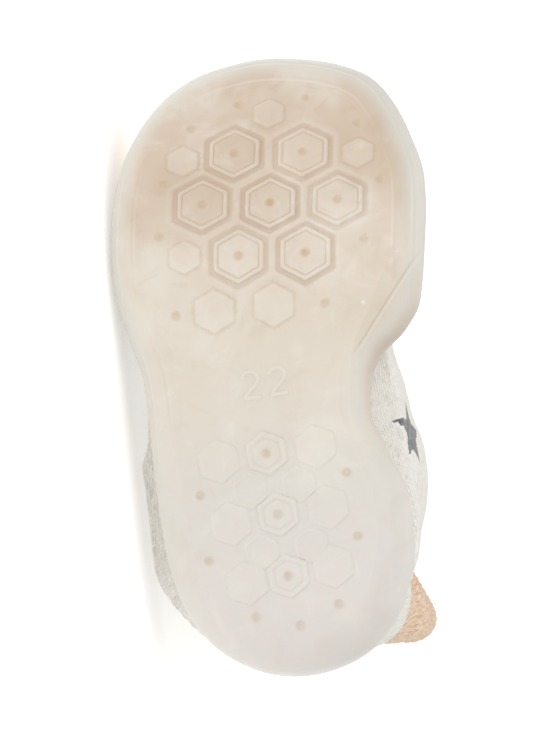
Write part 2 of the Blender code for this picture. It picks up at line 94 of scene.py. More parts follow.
# How steeply the side wall leaves the tread on the inner side, in degrees: a
# crease beside the arch, and soft elsewhere, as on the outer side.
CREASE = [(0.0, 10.0), (50.0, 10.0), (64.0, 27.0), (84.0, 27.0), (96.0, 10.0), (144.0, 10.0)]
SECTIONS = [
    # name, front x, z, y, back x, z, y, outer, inner, s_out, s_in, up, down
    ("toe cap", 138.2, 33.0, -7.6, 137.4, 24.0, -7.6, -18.5, 4.0, .50, .50, 2.1, 2.1),
    ("toe", 135.8, 38.2, -7.6, 134.2, 18.0, -7.6, -28.0, 13.0, .55, .55, 2.1, 2.8),
    ("toes", 130.5, 42.3, -7.6, 129.0, 14.0, -7.6, -34.5, 19.2, .60, .60, 2.2, 3.6),
    ("toe joint", 121.0, 44.4, -7.6, 120.0, 10.0, -7.6, -38.2, 23.6, .62, .62, 2.2, 4.5),
    ("ball front", 110.0, 45.2, -7.4, 110.0, 6.5, -7.4, -39.8, 25.6, .64, .64, 2.2, 5.0),
    ("ball", 99.5, 46.4, -7.0, 99.0, 3.0, -7.0, -40.2, 26.2, .64, .64, 2.2, 5.0),
    ("vamp", 90.0, 48.4, -6.4, 88.0, 1.0, -6.4, -38.8, 25.6, .63, .63, 2.2, 5.0),
    ("instep", 81.5, 51.6, -5.6, 76.0, 1.0, -5.6, -36.0, 19.2, .60, .60, 2.2, 5.0),
    ("throat", 75.0, 55.2, -4.6, 63.0, 1.0, -4.6, -34.5, 22.0, .58, .56, 2.2, 4.6),
    ("waist", 71.0, 58.2, -3.8, 49.0, 1.0, -3.8, -34.1, 24.0, .59, .54, 2.2, 4.2),
    ("arch", 68.6, 60.4, -3.0, 33.0, 1.0, -3.0, -36.4, 26.4, .60, .52, 2.2, 4.0),
    ("heel seat", 67.2, 61.8, -2.4, 16.0, 1.0, -1.4, -35.0, 27.2, .60, .50, 2.2, 3.4),
    ("heel", 66.2, 63.0, -2.0, 4.4, 7.0, 0.4, -30.8, 25.0, .60, .48, 2.2, 2.7),
    ("heel back", 65.4, 64.2, -1.6, 3.2, 22.0, 1.4, -26.4, 21.2, .54, .48, 2.2, 2.3),
    ("ankle back", 64.8, 65.4, -1.4, 5.8, 39.0, 3.0, -23.4, 18.6, .48, .50, 2.2, 2.1),
    ("ankle", 64.2, 66.8, -2.2, 10.2, 52.0, 6.0, -20.0, 18.2, .44, .56, 2.2, 2.0),
    ("cuff foot", 63.2, 68.6, -5.0, 15.0, 62.0, 13.2, -17.0, 20.2, .44, .70, 2.1, 2.0),
    ("cuff", 61.8, 73.4, -8.0, 17.6, 71.0, 16.8, -14.2, 21.4, .45, .79, 2.0, 1.95),
    ("collar", 60.6, 80.0, -10.0, 18.6, 79.0, 17.1, -13.2, 21.7, .46, .80, 2.0, 1.92),
]
NAMES = [r[0] for r in SECTIONS]
TOE_POLE = (138.9, -7.6, 28.6)
LIP_CLEAR, LIP_ROOM = 1.6, 9.0
PROUD = 12.0

# ------------------------------------------------------------- fineness, looks
FINE_STATIONS = 190        # along the cup
WALES = 144                # columns of stitches round the sock
COLUMNS = 2 * WALES
ROWS = 164                 # rings along the sock
COURSE = 0.86              # height of a stitch, mm
CUFF_RIBS = 72

# ---------------------------------------------------------------- arithmetic


def slopes(t, v):
    d = np.diff(v) / np.diff(t)
    m = np.empty(len(v))
    m[0], m[-1] = d[0], d[-1]
    for i in range(1, len(v) - 1):
        if d[i - 1] * d[i] <= 0:
            m[i] = 0.0
        else:
            w1 = 2 * (t[i + 1] - t[i]) + (t[i] - t[i - 1])
            w2 = (t[i + 1] - t[i]) + 2 * (t[i] - t[i - 1])
            m[i] = (w1 + w2) / (w1 / d[i - 1] + w2 / d[i])
    return m


def smooth(t, v, q):
    """Value at q of a smooth curve through (t, v) that doesn't overshoot."""
    t, v, q = np.asarray(t, float), np.asarray(v, float), np.asarray(q, float)
    m = slopes(t, v)
    i = np.clip(np.searchsorted(t, q, side="right") - 1, 0, len(t) - 2)
    h = t[i + 1] - t[i]
    u = np.clip((q - t[i]) / h, 0.0, 1.0)
    return ((2 * u**3 - 3 * u**2 + 1) * v[i] + (u**3 - 2 * u**2 + u) * h * m[i]
            + (-2 * u**3 + 3 * u**2) * v[i + 1] + (u**3 - u**2) * h * m[i + 1])


def step(a, b, x):
    t = np.clip((x - a) / (b - a), 0.0, 1.0)
    return t * t * (3 - 2 * t)


def around(x):
    return np.arccos(np.clip(1 - 2 * np.asarray(x, float) / SOLE_LENGTH, -1, 1))


_px, _po, _pi, _to, _ti = (np.array(c) for c in zip(*PLAN))
_pa = np.concatenate([[0.0], around(_px), [math.pi]])


def plan(a):
    """Outline at angle a: x, outer y, inner y, tread inset outer and inner."""
    x = SOLE_LENGTH * (1 - np.cos(a)) / 2
    out = -smooth(_pa, np.concatenate([[-HEEL_Y], _po, [-TOE_Y]]), a)
    inn = smooth(_pa, np.concatenate([[HEEL_Y], _pi, [TOE_Y]]), a)
    eo = smooth(_pa, np.concatenate([[7.0], _to, [7.8]]), a)
    ei = smooth(_pa, np.concatenate([[7.0], _ti, [7.8]]), a)
    return x, out, inn, eo, ei


_sx = np.linspace(-4.0, 150.0, 3081)
_sd = np.tan(np.radians(smooth(*zip(*SPRING), np.clip(_sx, 0, 144))))
_sz = np.concatenate([[0.0], np.cumsum((_sd[1:] + _sd[:-1]) / 2 * np.diff(_sx))])
_sz -= np.interp(50.0, _sx, _sz)
_arc = np.concatenate([[0.0], np.cumsum(np.hypot(np.diff(_sx), np.diff(_sz)))])
_arc -= np.interp(0.0, _sx, _arc)


def tread_z(x):
    return np.interp(x, _sx, _sz)


def tread_at(s):
    return np.interp(s, _arc, _sx)


def wall_heights(x):
    xs, w, lip = zip(*WALL)
    return smooth(xs, w, x), smooth(xs, lip, x)


# ------------------------------------------------------- the shoe on its side
_up = Vector((FLOOR_YAW, 1.0, FLOOR_ROLL)).normalized()
_out = Vector((0.0, 0.0, -1.0))
_back = -(_out - _up * _out.dot(_up)).normalized()
_side = _back.cross(_up)
TURN = np.array((_side[:], _back[:], _up[:]))


def cup_columns(stations, profile):
    """Points of the cup for both sides: station, row of the profile, xyz. Also
    the inset and height of each."""
    angles = np.linspace(0.0, math.pi, stations)
    x, out, inn, eo, ei = plan(angles)
    mid = (out + inn) / 2
    base_x = np.clip(x, 27.0, 106.0)
    sides, facts = [], []
    for side, y, e in ((0, out, eo), (1, inn, ei)):
        away = np.stack([base_x - x, mid - y], 1)
        away /= np.maximum(np.linalg.norm(away, axis=1), 1e-9)[:, None]
        z0 = tread_z(x + away[:, 0] * e)
        w, lip = wall_heights(x)
        crease = smooth(*zip(*CREASE), x) if side else np.full(stations, CREASE[0][1])
        rows = np.array([profile(e[i], w[i], lip[i], crease[i]) for i in range(stations)])
        n, h = rows[..., 0], rows[..., 1]
        sides.append(np.stack([x[:, None] + away[:, :1] * n, y[:, None] + away[:, 1:] * n,
                               z0[:, None] + h], 2))
        facts.append(np.stack([n, h, np.broadcast_to(lip[:, None], n.shape)], 2))
    return sides, facts


def join_sides(pair, r):
    return np.concatenate([pair[0][:, r], pair[1][1:-1, r][::-1]])


def edge_rows(e, widest, lip, crease):
    """The rows of the solid that reach furthest back, up and inward."""
    rows = []
    for k in range(5):
        a = math.radians(crease + (90 - crease) * k / 4)
        s0, c0 = math.sin(math.radians(crease)), math.cos(math.radians(crease))
        rows.append((e * (1 - (math.sin(a) - s0) / (1 - s0)), widest * (1 - math.cos(a) / c0)))
    for k in (1, 2, 3):
        a = math.radians(90 * k / 3)
        rows.append((1.5 * (1 - math.cos(a)), widest + (lip - 0.5 - widest) * math.sin(a)))
    rows.append((1.5 + 0.25 * LIP_THICK, lip))
    rows.append((1.5 + 0.75 * LIP_THICK, lip))
    return rows


_cup, _ = cup_columns(46, edge_rows)
_high = (np.concatenate([s.reshape(-1, 3) for s in _cup]) @ TURN.T).max(0) * MM
SHIFT = np.array(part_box("outsole")[1]) - _high


def lay(points):
    """Millimetres of the last to metres of the world."""
    return np.asarray(points, float) @ TURN.T * MM + SHIFT


def lay_way(v):
    v = TURN @ np.asarray(v, float)
    return v / np.linalg.norm(v)


# ------------------------------------------------------------------ mesh help
def new_piece(name, verts_mm, faces, materials, uvs=None, slots=None, attributes=None,
              replaced=None, sharp=60):
    mesh = bpy.data.meshes.new(name)
    mesh.from_pydata(lay(verts_mm).tolist(), [], faces)
    if uvs is not None:
        layer = mesh.uv_layers.new(name="knit")
        layer.data.foreach_set("uv", np.asarray(uvs, np.float32).ravel())
    for key, values in (attributes or {}).items():
        values = np.asarray(values, np.float32)
        kind = "FLOAT" if values.ndim == 1 else "FLOAT_VECTOR"
        layer = mesh.attributes.new(key, kind, "POINT")
        layer.data.foreach_set("value" if values.ndim == 1 else "vector", values.ravel())
    for m in materials:
        mesh.materials.append(m)
    if slots is not None:
        mesh.polygons.foreach_set("material_index", np.asarray(slots, np.int32))
    mesh.validate()
    mesh.shade_smooth()
    mesh.set_sharp_from_angle(angle=math.radians(sharp))
    mesh.update()
    obj = bpy.data.objects.new(name, mesh)
    bpy.context.scene.collection.objects.link(obj)
    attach(obj, "root")
    if replaced:
        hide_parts(replaced)
    return obj


# -------------------------------------------------------------- shader helper
class Nodes:
    """A short way to write node trees."""

    def __init__(self, name):
        self.material = bpy.data.materials.new(name)
        self.material.use_nodes = True
        self.tree = self.material.node_tree
        self.shader = self.tree.nodes["Principled BSDF"]

    def add(self, kind, **settings):
        node = self.tree.nodes.new(kind)
        for key, value in settings.items():
            setattr(node, key, value)
        return node

    def put(self, socket, value):
        if isinstance(value, bpy.types.NodeSocket):
            self.tree.links.new(value, socket)
        elif isinstance(value, tuple) and len(value) == 3 and socket.type == "RGBA":
            socket.default_value = (*value, 1.0)
        else:
            socket.default_value = value

    def maths(self, operation, a, b=None, c=None, clamp=False):
        node = self.add("ShaderNodeMath", operation=operation, use_clamp=clamp)
        for k, value in enumerate((a, b, c)):
            if value is not None:
                self.put(node.inputs[k], value)
        return node.outputs[0]

    def ramp(self, value, low, high, out_low=0.0, out_high=1.0, smooth=True):
        node = self.add("ShaderNodeMapRange",
                        interpolation_type="SMOOTHSTEP" if smooth else "LINEAR", clamp=True)
        for key, v in zip(("Value", "From Min", "From Max", "To Min", "To Max"),
                          (value, low, high, out_low, out_high)):
            self.put(node.inputs[key], v)
        return node.outputs["Result"]

    def colours(self, value, stops):
        node = self.add("ShaderNodeValToRGB")
        self.put(node.inputs["Fac"], value)
        elements = node.color_ramp.elements
        for k, (at, colour) in enumerate(stops):
            e = elements[k] if k < 2 else elements.new(at)
            e.position = at
            e.color = (*srgb(*colour), 1.0)
        return node.outputs["Color"]

    def mix(self, factor, a, b, blend="MIX"):
        node = self.add("ShaderNodeMix", data_type="RGBA", blend_type=blend)
        self.put(node.inputs["Factor"], factor)
        self.put(node.inputs["A"], a)
        self.put(node.inputs["B"], b)
        return node.outputs["Result"]

    def mapped(self, vector, scale):
        node = self.add("ShaderNodeMapping")
        self.put(node.inputs["Vector"], vector)
        node.inputs["Scale"].default_value = scale
        return node.outputs["Vector"]

    def noise(self, vector, scale, detail=2.0, roughness=0.5, distortion=0.0):
        node = self.add("ShaderNodeTexNoise")
        self.put(node.inputs["Vector"], vector)
        node.inputs["Scale"].default_value = scale
        node.inputs["Detail"].default_value = detail
        node.inputs["Roughness"].default_value = roughness
        node.inputs["Distortion"].default_value = distortion
        return node.outputs["Fac"]

    def attribute(self, name, output="Fac"):
        node = self.add("ShaderNodeAttribute", attribute_type="GEOMETRY", attribute_name=name)
        return node.outputs[output]

    def place(self):
        return self.add("ShaderNodeTexCoord").outputs["Object"]

    def bump(self, height, distance, strength=1.0, below=None):
        node = self.add("ShaderNodeBump")
        node.inputs["Strength"].default_value = strength
        node.inputs["Distance"].default_value = distance
        self.put(node.inputs["Height"], height)
        if below is not None:
            self.put(node.inputs["Normal"], below)
        return node.outputs["Normal"]

    def set(self, **values):
        for key, value in values.items():
            self.put(self.shader.inputs[key.replace("_", " ")], value)


def srgb(r, g, b):
    """Screen colour, 0 to 255, to the linear values that shaders take."""
    out = []
    for c in (r, g, b):
        c /= 255.0
        out.append(c / 12.92 if c <= 0.04045 else ((c + 0.055) / 1.055) ** 2.4)
    return tuple(out)


# ------------------------------------------------------------------ materials
def rubber_material():
    n = Nodes("milky_rubber")
    place = n.place()
    cloud = n.noise(place, 38.0, 3.0, 0.55, 0.4)
    drift = n.noise(place, 14.0, 1.0)
    along = n.attribute("along")
    shifted = n.maths("MULTIPLY_ADD", n.maths("SUBTRACT", drift, 0.5), 0.09, along)
    body = n.colours(shifted, [
        (0.0, (226, 219, 213)), (1.0, (222, 208, 190)), (0.12, (227, 221, 214)),
        (0.30, (225, 220, 211)), (0.42, (228, 220, 206)), (0.55, (229, 219, 203)),
        (0.66, (227, 214, 197)), (0.80, (223, 206, 187)), (0.92, (219, 201, 181))])
    patches = n.ramp(cloud, 0.40, 0.70)
    warm = n.ramp(along, 0.40, 0.85)
    body = n.mix(n.maths("MULTIPLY", n.maths("MULTIPLY", patches, warm), 0.70), body,
                 srgb(208, 188, 164))
    body = n.mix(n.maths("MULTIPLY", n.ramp(cloud, 0.30, 0.50, 1.0, 0.0), 0.60), body,
                 srgb(236, 232, 221))
    flakes = n.noise(place, 110.0, 4.0, 0.6, 0.8)
    body = n.mix(n.maths("MULTIPLY", n.ramp(flakes, 0.52, 0.72), n.maths(
        "MULTIPLY_ADD", warm, 0.34, 0.10)), body, srgb(205, 181, 156))
    body = n.mix(n.maths("MULTIPLY", n.ramp(flakes, 0.28, 0.46, 1.0, 0.0), 0.30), body,
                 srgb(240, 235, 226))
    rim = n.attribute("rim")
    pale = n.ramp(rim, 0.12, 0.62, 1.0, 0.0)
    fore = n.ramp(along, 0.30, 0.55)
    body = n.mix(n.maths("MULTIPLY", pale, n.maths("MULTIPLY_ADD", fore, 0.58, 0.32)), body,
                 srgb(224, 221, 211))
    for at, width, strength, tone in ((0.17, 0.035, 0.30, (206, 202, 190)), (0.22, 0.03, 0.35, (238, 235, 226)),
                                      (0.56, 0.04, 0.22, (206, 196, 182)), (0.63, 0.04, 0.35, (238, 232, 222))):
        line = n.ramp(n.maths("ABSOLUTE", n.maths("SUBTRACT", rim, at)), 0.2 * width, width, 1.0, 0.0)
        body = n.mix(n.maths("MULTIPLY", n.maths("MULTIPLY", n.maths("MULTIPLY", line, fore), strength),
                             n.ramp(n.noise(place, 24.0, 1.0), 0.35, 0.60)), body, srgb(*tone))
    body = n.mix(n.attribute("tan"), body, srgb(208, 190, 170))
    body = n.mix(n.maths("MULTIPLY", n.attribute("pad"), 0.45), body, srgb(236, 229, 219))
    body = n.mix(n.maths("MULTIPLY", n.attribute("groove"), 0.48), body, srgb(196, 167, 138))
    spotty = n.ramp(n.noise(place, 900.0, 2.0), 0.3, 0.7, 0.55, 1.0)
    body = n.mix(n.maths("MULTIPLY", n.attribute("dot"), spotty), body, srgb(208, 179, 140))
    # painted shade and a painted highlight along the fold beside the arch, from the waist up to the outline of the
    # ball
    spot = n.add("ShaderNodeSeparateXYZ")
    n.put(spot.inputs[0], n.attribute("last", "Vector"))
    ahead = n.maths("SUBTRACT", spot.outputs["X"], 71.0)
    bend = n.maths("MULTIPLY_ADD", n.maths("MULTIPLY", ahead, ahead), -0.0018,
                   n.maths("MULTIPLY_ADD", ahead, 0.62, 14.0))
    off = n.maths("SUBTRACT", spot.outputs["Y"], bend)
    reach = n.maths("MULTIPLY", n.ramp(ahead, -1.0, 3.0), n.ramp(ahead, 19.0, 25.0, 1.0, 0.0))
    below = n.maths("MULTIPLY", n.ramp(spot.outputs["Z"], 9.0, 12.0, 1.0, 0.0), reach)
    dark = n.maths("MULTIPLY", n.ramp(n.maths("ABSOLUTE", off), 0.10, 0.42, 1.0, 0.0), below)
    light = n.maths("MULTIPLY", n.ramp(n.maths("ABSOLUTE", n.maths("SUBTRACT", off, 0.62)),
                                       0.14, 0.50, 1.0, 0.0), below)
    # painted shade in the fold, then a painted highlight just beside it
    body = n.mix(n.maths("MULTIPLY", dark, 0.28), body, srgb(184, 166, 146))
    body = n.mix(n.maths("MULTIPLY", light, 0.30), body, srgb(242, 236, 226))
    cells = n.add("ShaderNodeTexVoronoi", feature="F1")
    n.put(cells.inputs["Vector"], place)
    cells.inputs["Scale"].default_value = 120.0
    specks = n.ramp(cells.outputs["Distance"], 0.03, 0.09, 1.0, 0.0)
    pick = n.add("ShaderNodeSeparateColor")
    n.put(pick.inputs[0], cells.outputs["Color"])
    chosen = n.ramp(pick.outputs[0], 0.86, 0.88)
    specks = n.maths("MULTIPLY", specks, chosen)
    body = n.mix(n.maths("MULTIPLY", specks, 0.5), body, srgb(246, 244, 240))
    body = n.mix(1.0, body, (0.905, 0.905, 0.912), "MULTIPLY")
    fine = n.noise(place, 2600.0, 2.0, 0.6)
    skin = n.noise(place, 220.0, 3.0, 0.55)
    height = n.maths("ADD", n.maths("MULTIPLY", fine, 0.12),
                     n.maths("ADD", n.maths("MULTIPLY", skin, 0.6),
                             n.maths("MULTIPLY", specks, 0.5)))
    height = n.maths("ADD", height, n.maths("MULTIPLY", n.maths("SUBTRACT", light, dark), 0.7))
    n.set(Base_Color=body,
          Roughness=n.ramp(n.noise(place, 90.0, 3.0), 0.3, 0.7, 0.34, 0.50),
          Normal=n.bump(height, 0.00012, 0.7))
    n.set(Subsurface_Weight=0.3, Subsurface_Scale=0.004, Coat_Weight=0.22, Coat_Roughness=0.22,
          IOR=1.42, Specular_IOR_Level=0.45)
    n.shader.inputs["Subsurface Radius"].default_value = (1.0, 0.72, 0.5)
    return n.material


def knit_material(name, base, gap, flecks, motif=False, contrast=1.0):
    """Plain knitting: columns of V-shaped stitches of flecked yarn, with painted shade between the stitches."""
    n = Nodes(name)
    place = n.place()
    uv = n.add("ShaderNodeUVMap", uv_map="knit").outputs["UV"]
    split = n.add("ShaderNodeSeparateXYZ")
    n.put(split.inputs[0], uv)
    u, v = split.outputs["X"], split.outputs["Y"]
    wobble = n.maths("MULTIPLY", n.maths("SUBTRACT", n.noise(place, 700.0, 1.0), 0.5), 0.22)
    u = n.maths("ADD", u, wobble)
    across = n.maths("FRACT", u)
    half = n.maths("MULTIPLY", n.maths("ABSOLUTE", n.maths("SUBTRACT", across, 0.5)), 2.0)
    phase = n.maths("ADD", n.maths("SUBTRACT", v, n.maths("MULTIPLY", half, 0.85)),
                    n.maths("MULTIPLY", wobble, 0.8))
    along = n.maths("FRACT", phase)
    leg = n.maths("SUBTRACT", 1.0, n.maths("POWER", n.maths("ABSOLUTE", n.maths(
        "MULTIPLY_ADD", half, 2.0, -1.0)), 2.4))
    loop = n.maths("SUBTRACT", 1.0, n.maths("POWER", n.maths("ABSOLUTE", n.maths(
        "MULTIPLY_ADD", along, 2.0, -1.0)), 2.4))
    stitch = n.maths("POWER", n.maths("MAXIMUM", n.maths("MULTIPLY", leg, loop), 0.0), 0.6)
    # one random value for each half stitch, and streaks of fibre along the yarn
    cell = n.add("ShaderNodeCombineXYZ")
    n.put(cell.inputs[0], n.maths("FLOOR", n.maths("MULTIPLY", u, 2.0)))
    n.put(cell.inputs[1], n.maths("FLOOR", phase))
    white = n.add("ShaderNodeTexWhiteNoise", noise_dimensions="2D")
    n.put(white.inputs["Vector"], cell.outputs[0])
    random = white.outputs["Value"]
    streak_at = n.add("ShaderNodeCombineXYZ")
    n.put(streak_at.inputs[0], n.maths("MULTIPLY", u, 0.55))
    n.put(streak_at.inputs[1], n.maths("MULTIPLY", phase, 1.0))
    streak = n.noise(streak_at.outputs[0], 1.6, 3.0, 0.7)
    tint = n.maths("ADD", n.maths("MULTIPLY", random, 0.55), n.maths("MULTIPLY", streak, 0.62))
    yarn = n.colours(tint, flecks)
    yarn = n.mix(n.ramp(n.noise(place, 60.0, 2.0), 0.3, 0.75, 0.0, 0.35), yarn, srgb(*base))
    if motif:
        # a five-pointed star, worked in charcoal yarn
        at = n.add("ShaderNodeSeparateXYZ")
        n.put(at.inputs[0], n.attribute("star", "Vector"))
        grid_x = n.maths("MULTIPLY", n.maths("FLOOR", n.maths("ADD", n.maths(
            "DIVIDE", at.outputs["X"], 0.55), n.maths("MULTIPLY", random, 0.3))), 0.55)
        grid_y = n.maths("MULTIPLY", n.maths("FLOOR", n.maths("DIVIDE", at.outputs["Y"], 0.55)), 0.55)
        angle = n.maths("ARCTAN2", grid_x, grid_y)
        fold = n.maths("ABSOLUTE", n.maths("SUBTRACT", n.maths("MODULO", n.maths(
            "ADD", angle, 10 * math.pi / 5 + math.pi / 5), 2 * math.pi / 5), math.pi / 5))
        radius = n.maths("SQRT", n.maths("ADD", n.maths("MULTIPLY", grid_x, grid_x),
                                         n.maths("MULTIPLY", grid_y, grid_y)))
        # edge of one point of the star, from its tip to the notch beside it
        tip, notch = 7.4, 3.5
        ex, ey = (tip - notch * math.cos(math.pi / 5)), -notch * math.sin(math.pi / 5)
        length = math.hypot(ex, ey)
        px = n.maths("MULTIPLY", radius, n.maths("COSINE", fold))
        py = n.maths("MULTIPLY", radius, n.maths("SINE", fold))
        edge = n.maths("ADD", n.maths("MULTIPLY", n.maths("SUBTRACT", px, tip), -ey / length),
                       n.maths("MULTIPLY", py, ex / length))
        inside_star = n.maths("LESS_THAN", edge, 0.0)
        inside_star = n.maths("MULTIPLY", inside_star, n.maths("LESS_THAN", radius, 12.0))
        inside_star = n.maths("MULTIPLY", inside_star, n.maths("GREATER_THAN", at.outputs["Z"], 0.5))
        dark = n.colours(tint, [(0.30, (84, 88, 94)), (0.85, (150, 152, 156)), (0.55, (116, 119, 124))])
        yarn = n.mix(inside_star, yarn, dark)
    # painted shade: the yarn is darkened towards the gap colour where the stitch is low, between the loops
    shade = n.ramp(stitch, 0.05, 0.75, 1.0 - 0.26 * contrast, 1.0)
    shaded_yarn = n.mix(1.0, yarn, srgb(*gap), "MULTIPLY")
    colour = n.mix(n.maths("SUBTRACT", 1.0, shade), yarn, shaded_yarn)
    fibre = n.noise(place, 5200.0, 2.0, 0.7)
    height = n.maths("ADD", stitch, n.maths("MULTIPLY", fibre, 0.35))
    n.set(Base_Color=colour, Roughness=0.93, Normal=n.bump(height, 0.00028, 0.62),
          Sheen_Weight=0.60, Sheen_Roughness=0.45, Specular_IOR_Level=0.18)
    n.shader.inputs["Sheen Tint"].default_value = (*srgb(*base), 1.0)
    return n.material


def insole_material():
    n = Nodes("brushed_foam")
    place = n.place()
    weave = n.add("ShaderNodeTexVoronoi", feature="F1")
    n.put(weave.inputs["Vector"], place)
    weave.inputs["Scale"].default_value = 1500.0
    nap = n.noise(place, 420.0, 4.0, 0.65)
    colour = n.colours(nap, [(0.25, (196, 168, 144)), (0.8, (228, 206, 184)), (0.5, (214, 189, 165))])
    colour = n.mix(n.ramp(weave.outputs["Distance"], 0.2, 0.7, 0.0, 0.35), colour, srgb(176, 148, 124))
    height = n.maths("ADD", n.maths("MULTIPLY", nap, 0.5), weave.outputs["Distance"])
    n.set(Base_Color=colour, Roughness=0.95, Normal=n.bump(height, 0.0002, 0.6),
          Sheen_Weight=0.25, Sheen_Roughness=0.5, Specular_IOR_Level=0.15)
    return n.material


def floor_material():
    n = Nodes("pale_floor")
    grain = n.noise(n.place(), 3.0, 2.0)
    n.set(Base_Color=n.colours(grain, [(0.2, (247, 247, 247)), (0.8, (250, 250, 250))]),
          Roughness=0.9, Specular_IOR_Level=0.1, Emission_Strength=0.30)
    n.shader.inputs["Emission Color"].default_value = (1.0, 1.0, 1.0, 1.0)
    return n.material


RUBBER = rubber_material()
OATMEAL = [(0.28, (226, 224, 216)), (0.95, (255, 254, 250)), (0.40, (241, 239, 231)),
           (0.54, (251, 249, 242)), (0.66, (248, 241, 231)), (0.80, (254, 252, 247))]
PEACH = [(0.28, (208, 170, 142)), (0.95, (255, 245, 226)), (0.40, (236, 201, 173)),
         (0.54, (252, 227, 200)), (0.66, (249, 214, 188)), (0.80, (255, 238, 212))]
# the third colour of each knit is the painted shade between its stitches
KNIT_BODY = knit_material("oatmeal_knit", (252, 250, 243), (226, 223, 214), OATMEAL, motif=True,
                          contrast=0.45)
KNIT_PEACH = knit_material("peach_knit", (252, 228, 202), (178, 138, 112), PEACH, contrast=1.1)
INSOLE = insole_material()

# ----------------------------------------------------------------- the outsole
BIG, MEDIUM, SMALL = "big", "medium", "small"
FORE_TURN, HEEL_TURN = 2.4, -11.0

# Height of the tread over each kind of block, by distance from its middle to a
# flat: (distance, height, groove, pad), all in millimetres or 0 to 1.
RELIEF = {
    "big": [(0.0, .32, 0, .25), (4.26, .32, 0, .25), (4.42, .28, .15, .15), (4.52, .16, .5, 0),
            (4.68, .16, .5, 0), (4.78, .28, .1, .3), (4.90, .34, 0, .45), (5.38, .34, 0, .45),
            (5.54, .26, .05, .3), (5.70, -.06, .65, 0), (5.84, -.16, .9, 0), (6.46, -.15, .85, 0),
            (6.70, -.10, .65, 0), (6.88, .02, .2, .1), (7.04, .05, 0, .3), (7.30, .10, 0, .4),
            (7.65, .12, 0, .4), (8.10, .05, 0, .15), (8.60, 0, 0, 0)],
    "medium": [(0.0, .16, 0, .5), (4.00, .16, 0, .5), (4.26, .13, .05, .3), (4.46, -.02, .36, 0),
               (4.70, -.05, .42, 0), (5.05, -.05, .36, 0), (5.30, -.02, .14, 0), (5.7, 0, 0, 0)],
    "small": [(0.0, .15, 0, .45), (3.08, .15, 0, .45), (3.32, .12, .05, .25), (3.50, -.02, .32, 0),
              (3.70, -.04, .36, 0), (4.00, -.04, .30, 0), (4.25, -.02, .12, 0), (4.6, 0, 0, 0)],
    "heel double": [(0.0, .20, 0, .3), (2.72, .20, 0, .3), (2.90, .18, .05, .2), (3.02, .11, .15, 0),
                    (3.20, .11, .15, 0), (3.34, .19, .05, .3), (4.12, .21, 0, .35), (4.34, .17, .05, .2),
                    (4.50, -.02, .2, 0), (4.76, -.03, .15, 0), (4.96, 0, .05, 0), (5.4, 0, 0, 0)],
    "heel single": [(0.0, .15, 0, .3), (4.10, .15, 0, .3), (4.34, .12, .05, .2), (4.50, -.01, .15, 0),
                    (4.74, -.02, .1, 0), (4.94, 0, .03, 0), (5.4, 0, 0, 0)],
    "heel shallow": [(0.0, .05, 0, .1), (3.05, .05, 0, .1), (3.25, .14, 0, .3), (3.50, .15, 0, .3),
                     (3.76, .02, .05, 0), (4.0, 0, 0, 0)],
}
BLOCKS = [  # kind, distance along the tread, y, turn
    ("big", 119.9, -14.8), ("big", 120.3, 0.7), ("big", 106.6, -21.1), ("big", 107.1, -5.8),
    ("big", 107.9, 9.4), ("big", 94.0, -12.2), ("big", 94.8, 2.9),
    ("small", 130.7, -7.8), ("small", 117.9, -26.4), ("small", 120.2, 13.2), ("small", 93.7, -24.4),
    ("medium", 81.3, -17.3), ("medium", 82.8, -3.9),
    ("heel double", 49.2, -4.8), ("heel double", 35.4, -1.9), ("heel double", 21.5, 0.8),
    ("heel single", 47.3, -15.6), ("heel single", 50.7, 6.2), ("heel single", 33.2, -12.5),
    ("heel single", 37.1, 9.3), ("heel single", 19.8, -8.6), ("heel single", 23.7, 10.8),
    ("heel shallow", 40.7, -8.3), ("heel shallow", 42.3, 2.7),
    ("heel shallow", 26.9, -5.3), ("heel shallow", 28.4, 5.9),
]
DIMPLES = [  # distance along the tread, y
    (133.0, -14.8), (135.3, 0.3), (126.6, -25.0), (128.2, 12.5), (113.4, 18.7), (98.2, 16.0),
    (112.0, -30.1), (98.6, -30.3), (80.3, -26.0), (83.2, 7.7), (44.9, 13.4), (39.7, -19.5),
    (30.6, 16.3), (24.9, -17.2), (15.3, 12.2), (12.3, -6.5), (10.5, 3.6),
]
# how deep the tint is in a block's groove, and how pale and how dark its face is
TINTS = {(119.9, -14.8): (.60, .15, .16), (120.3, 0.7): (.36, .3, .05), (106.6, -21.1): (.42, .2, .08),
         (107.1, -5.8): (.90, .2, .14), (107.9, 9.4): (.36, .3, .0), (94.0, -12.2): (.45, .8, .0),
         (94.8, 2.9): (.75, .3, .05)}
DOTS = {(107.1, -5.8): 1.0, (119.9, -14.8): .75, (94.8, 2.9): .75, (94.0, -12.2): .6}
DIMPLE = [(0.0, -.20, 1.0), (0.42, -.18, 1.0), (0.80, -.09, .8), (1.10, .01, .45), (1.32, .03, .15), (1.65, 0, 0)]


def turn_of(kind):
    return HEEL_TURN if kind.startswith("heel") else -FORE_TURN


def hex_distance(kind, at, points):
    """Distance from a block's middle, measured square to its nearest flat."""
    d = points - np.array(at)
    total = 0.0
    for k in range(3):
        a = math.radians(60 * k + 30 + turn_of(kind))
        total = total + np.abs(d[:, 0] * math.cos(a) + d[:, 1] * math.sin(a)) ** 40
    return total ** (1 / 40)


def ring_points(kind, at, distance, count):
    a = np.linspace(0, 2 * math.pi, count, endpoint=False) + math.radians(turn_of(kind))
    way = np.stack([np.cos(a), np.sin(a)], 1)
    scale = distance / hex_distance(kind, (0.0, 0.0), way)
    return np.array(at) + way * scale[:, None]


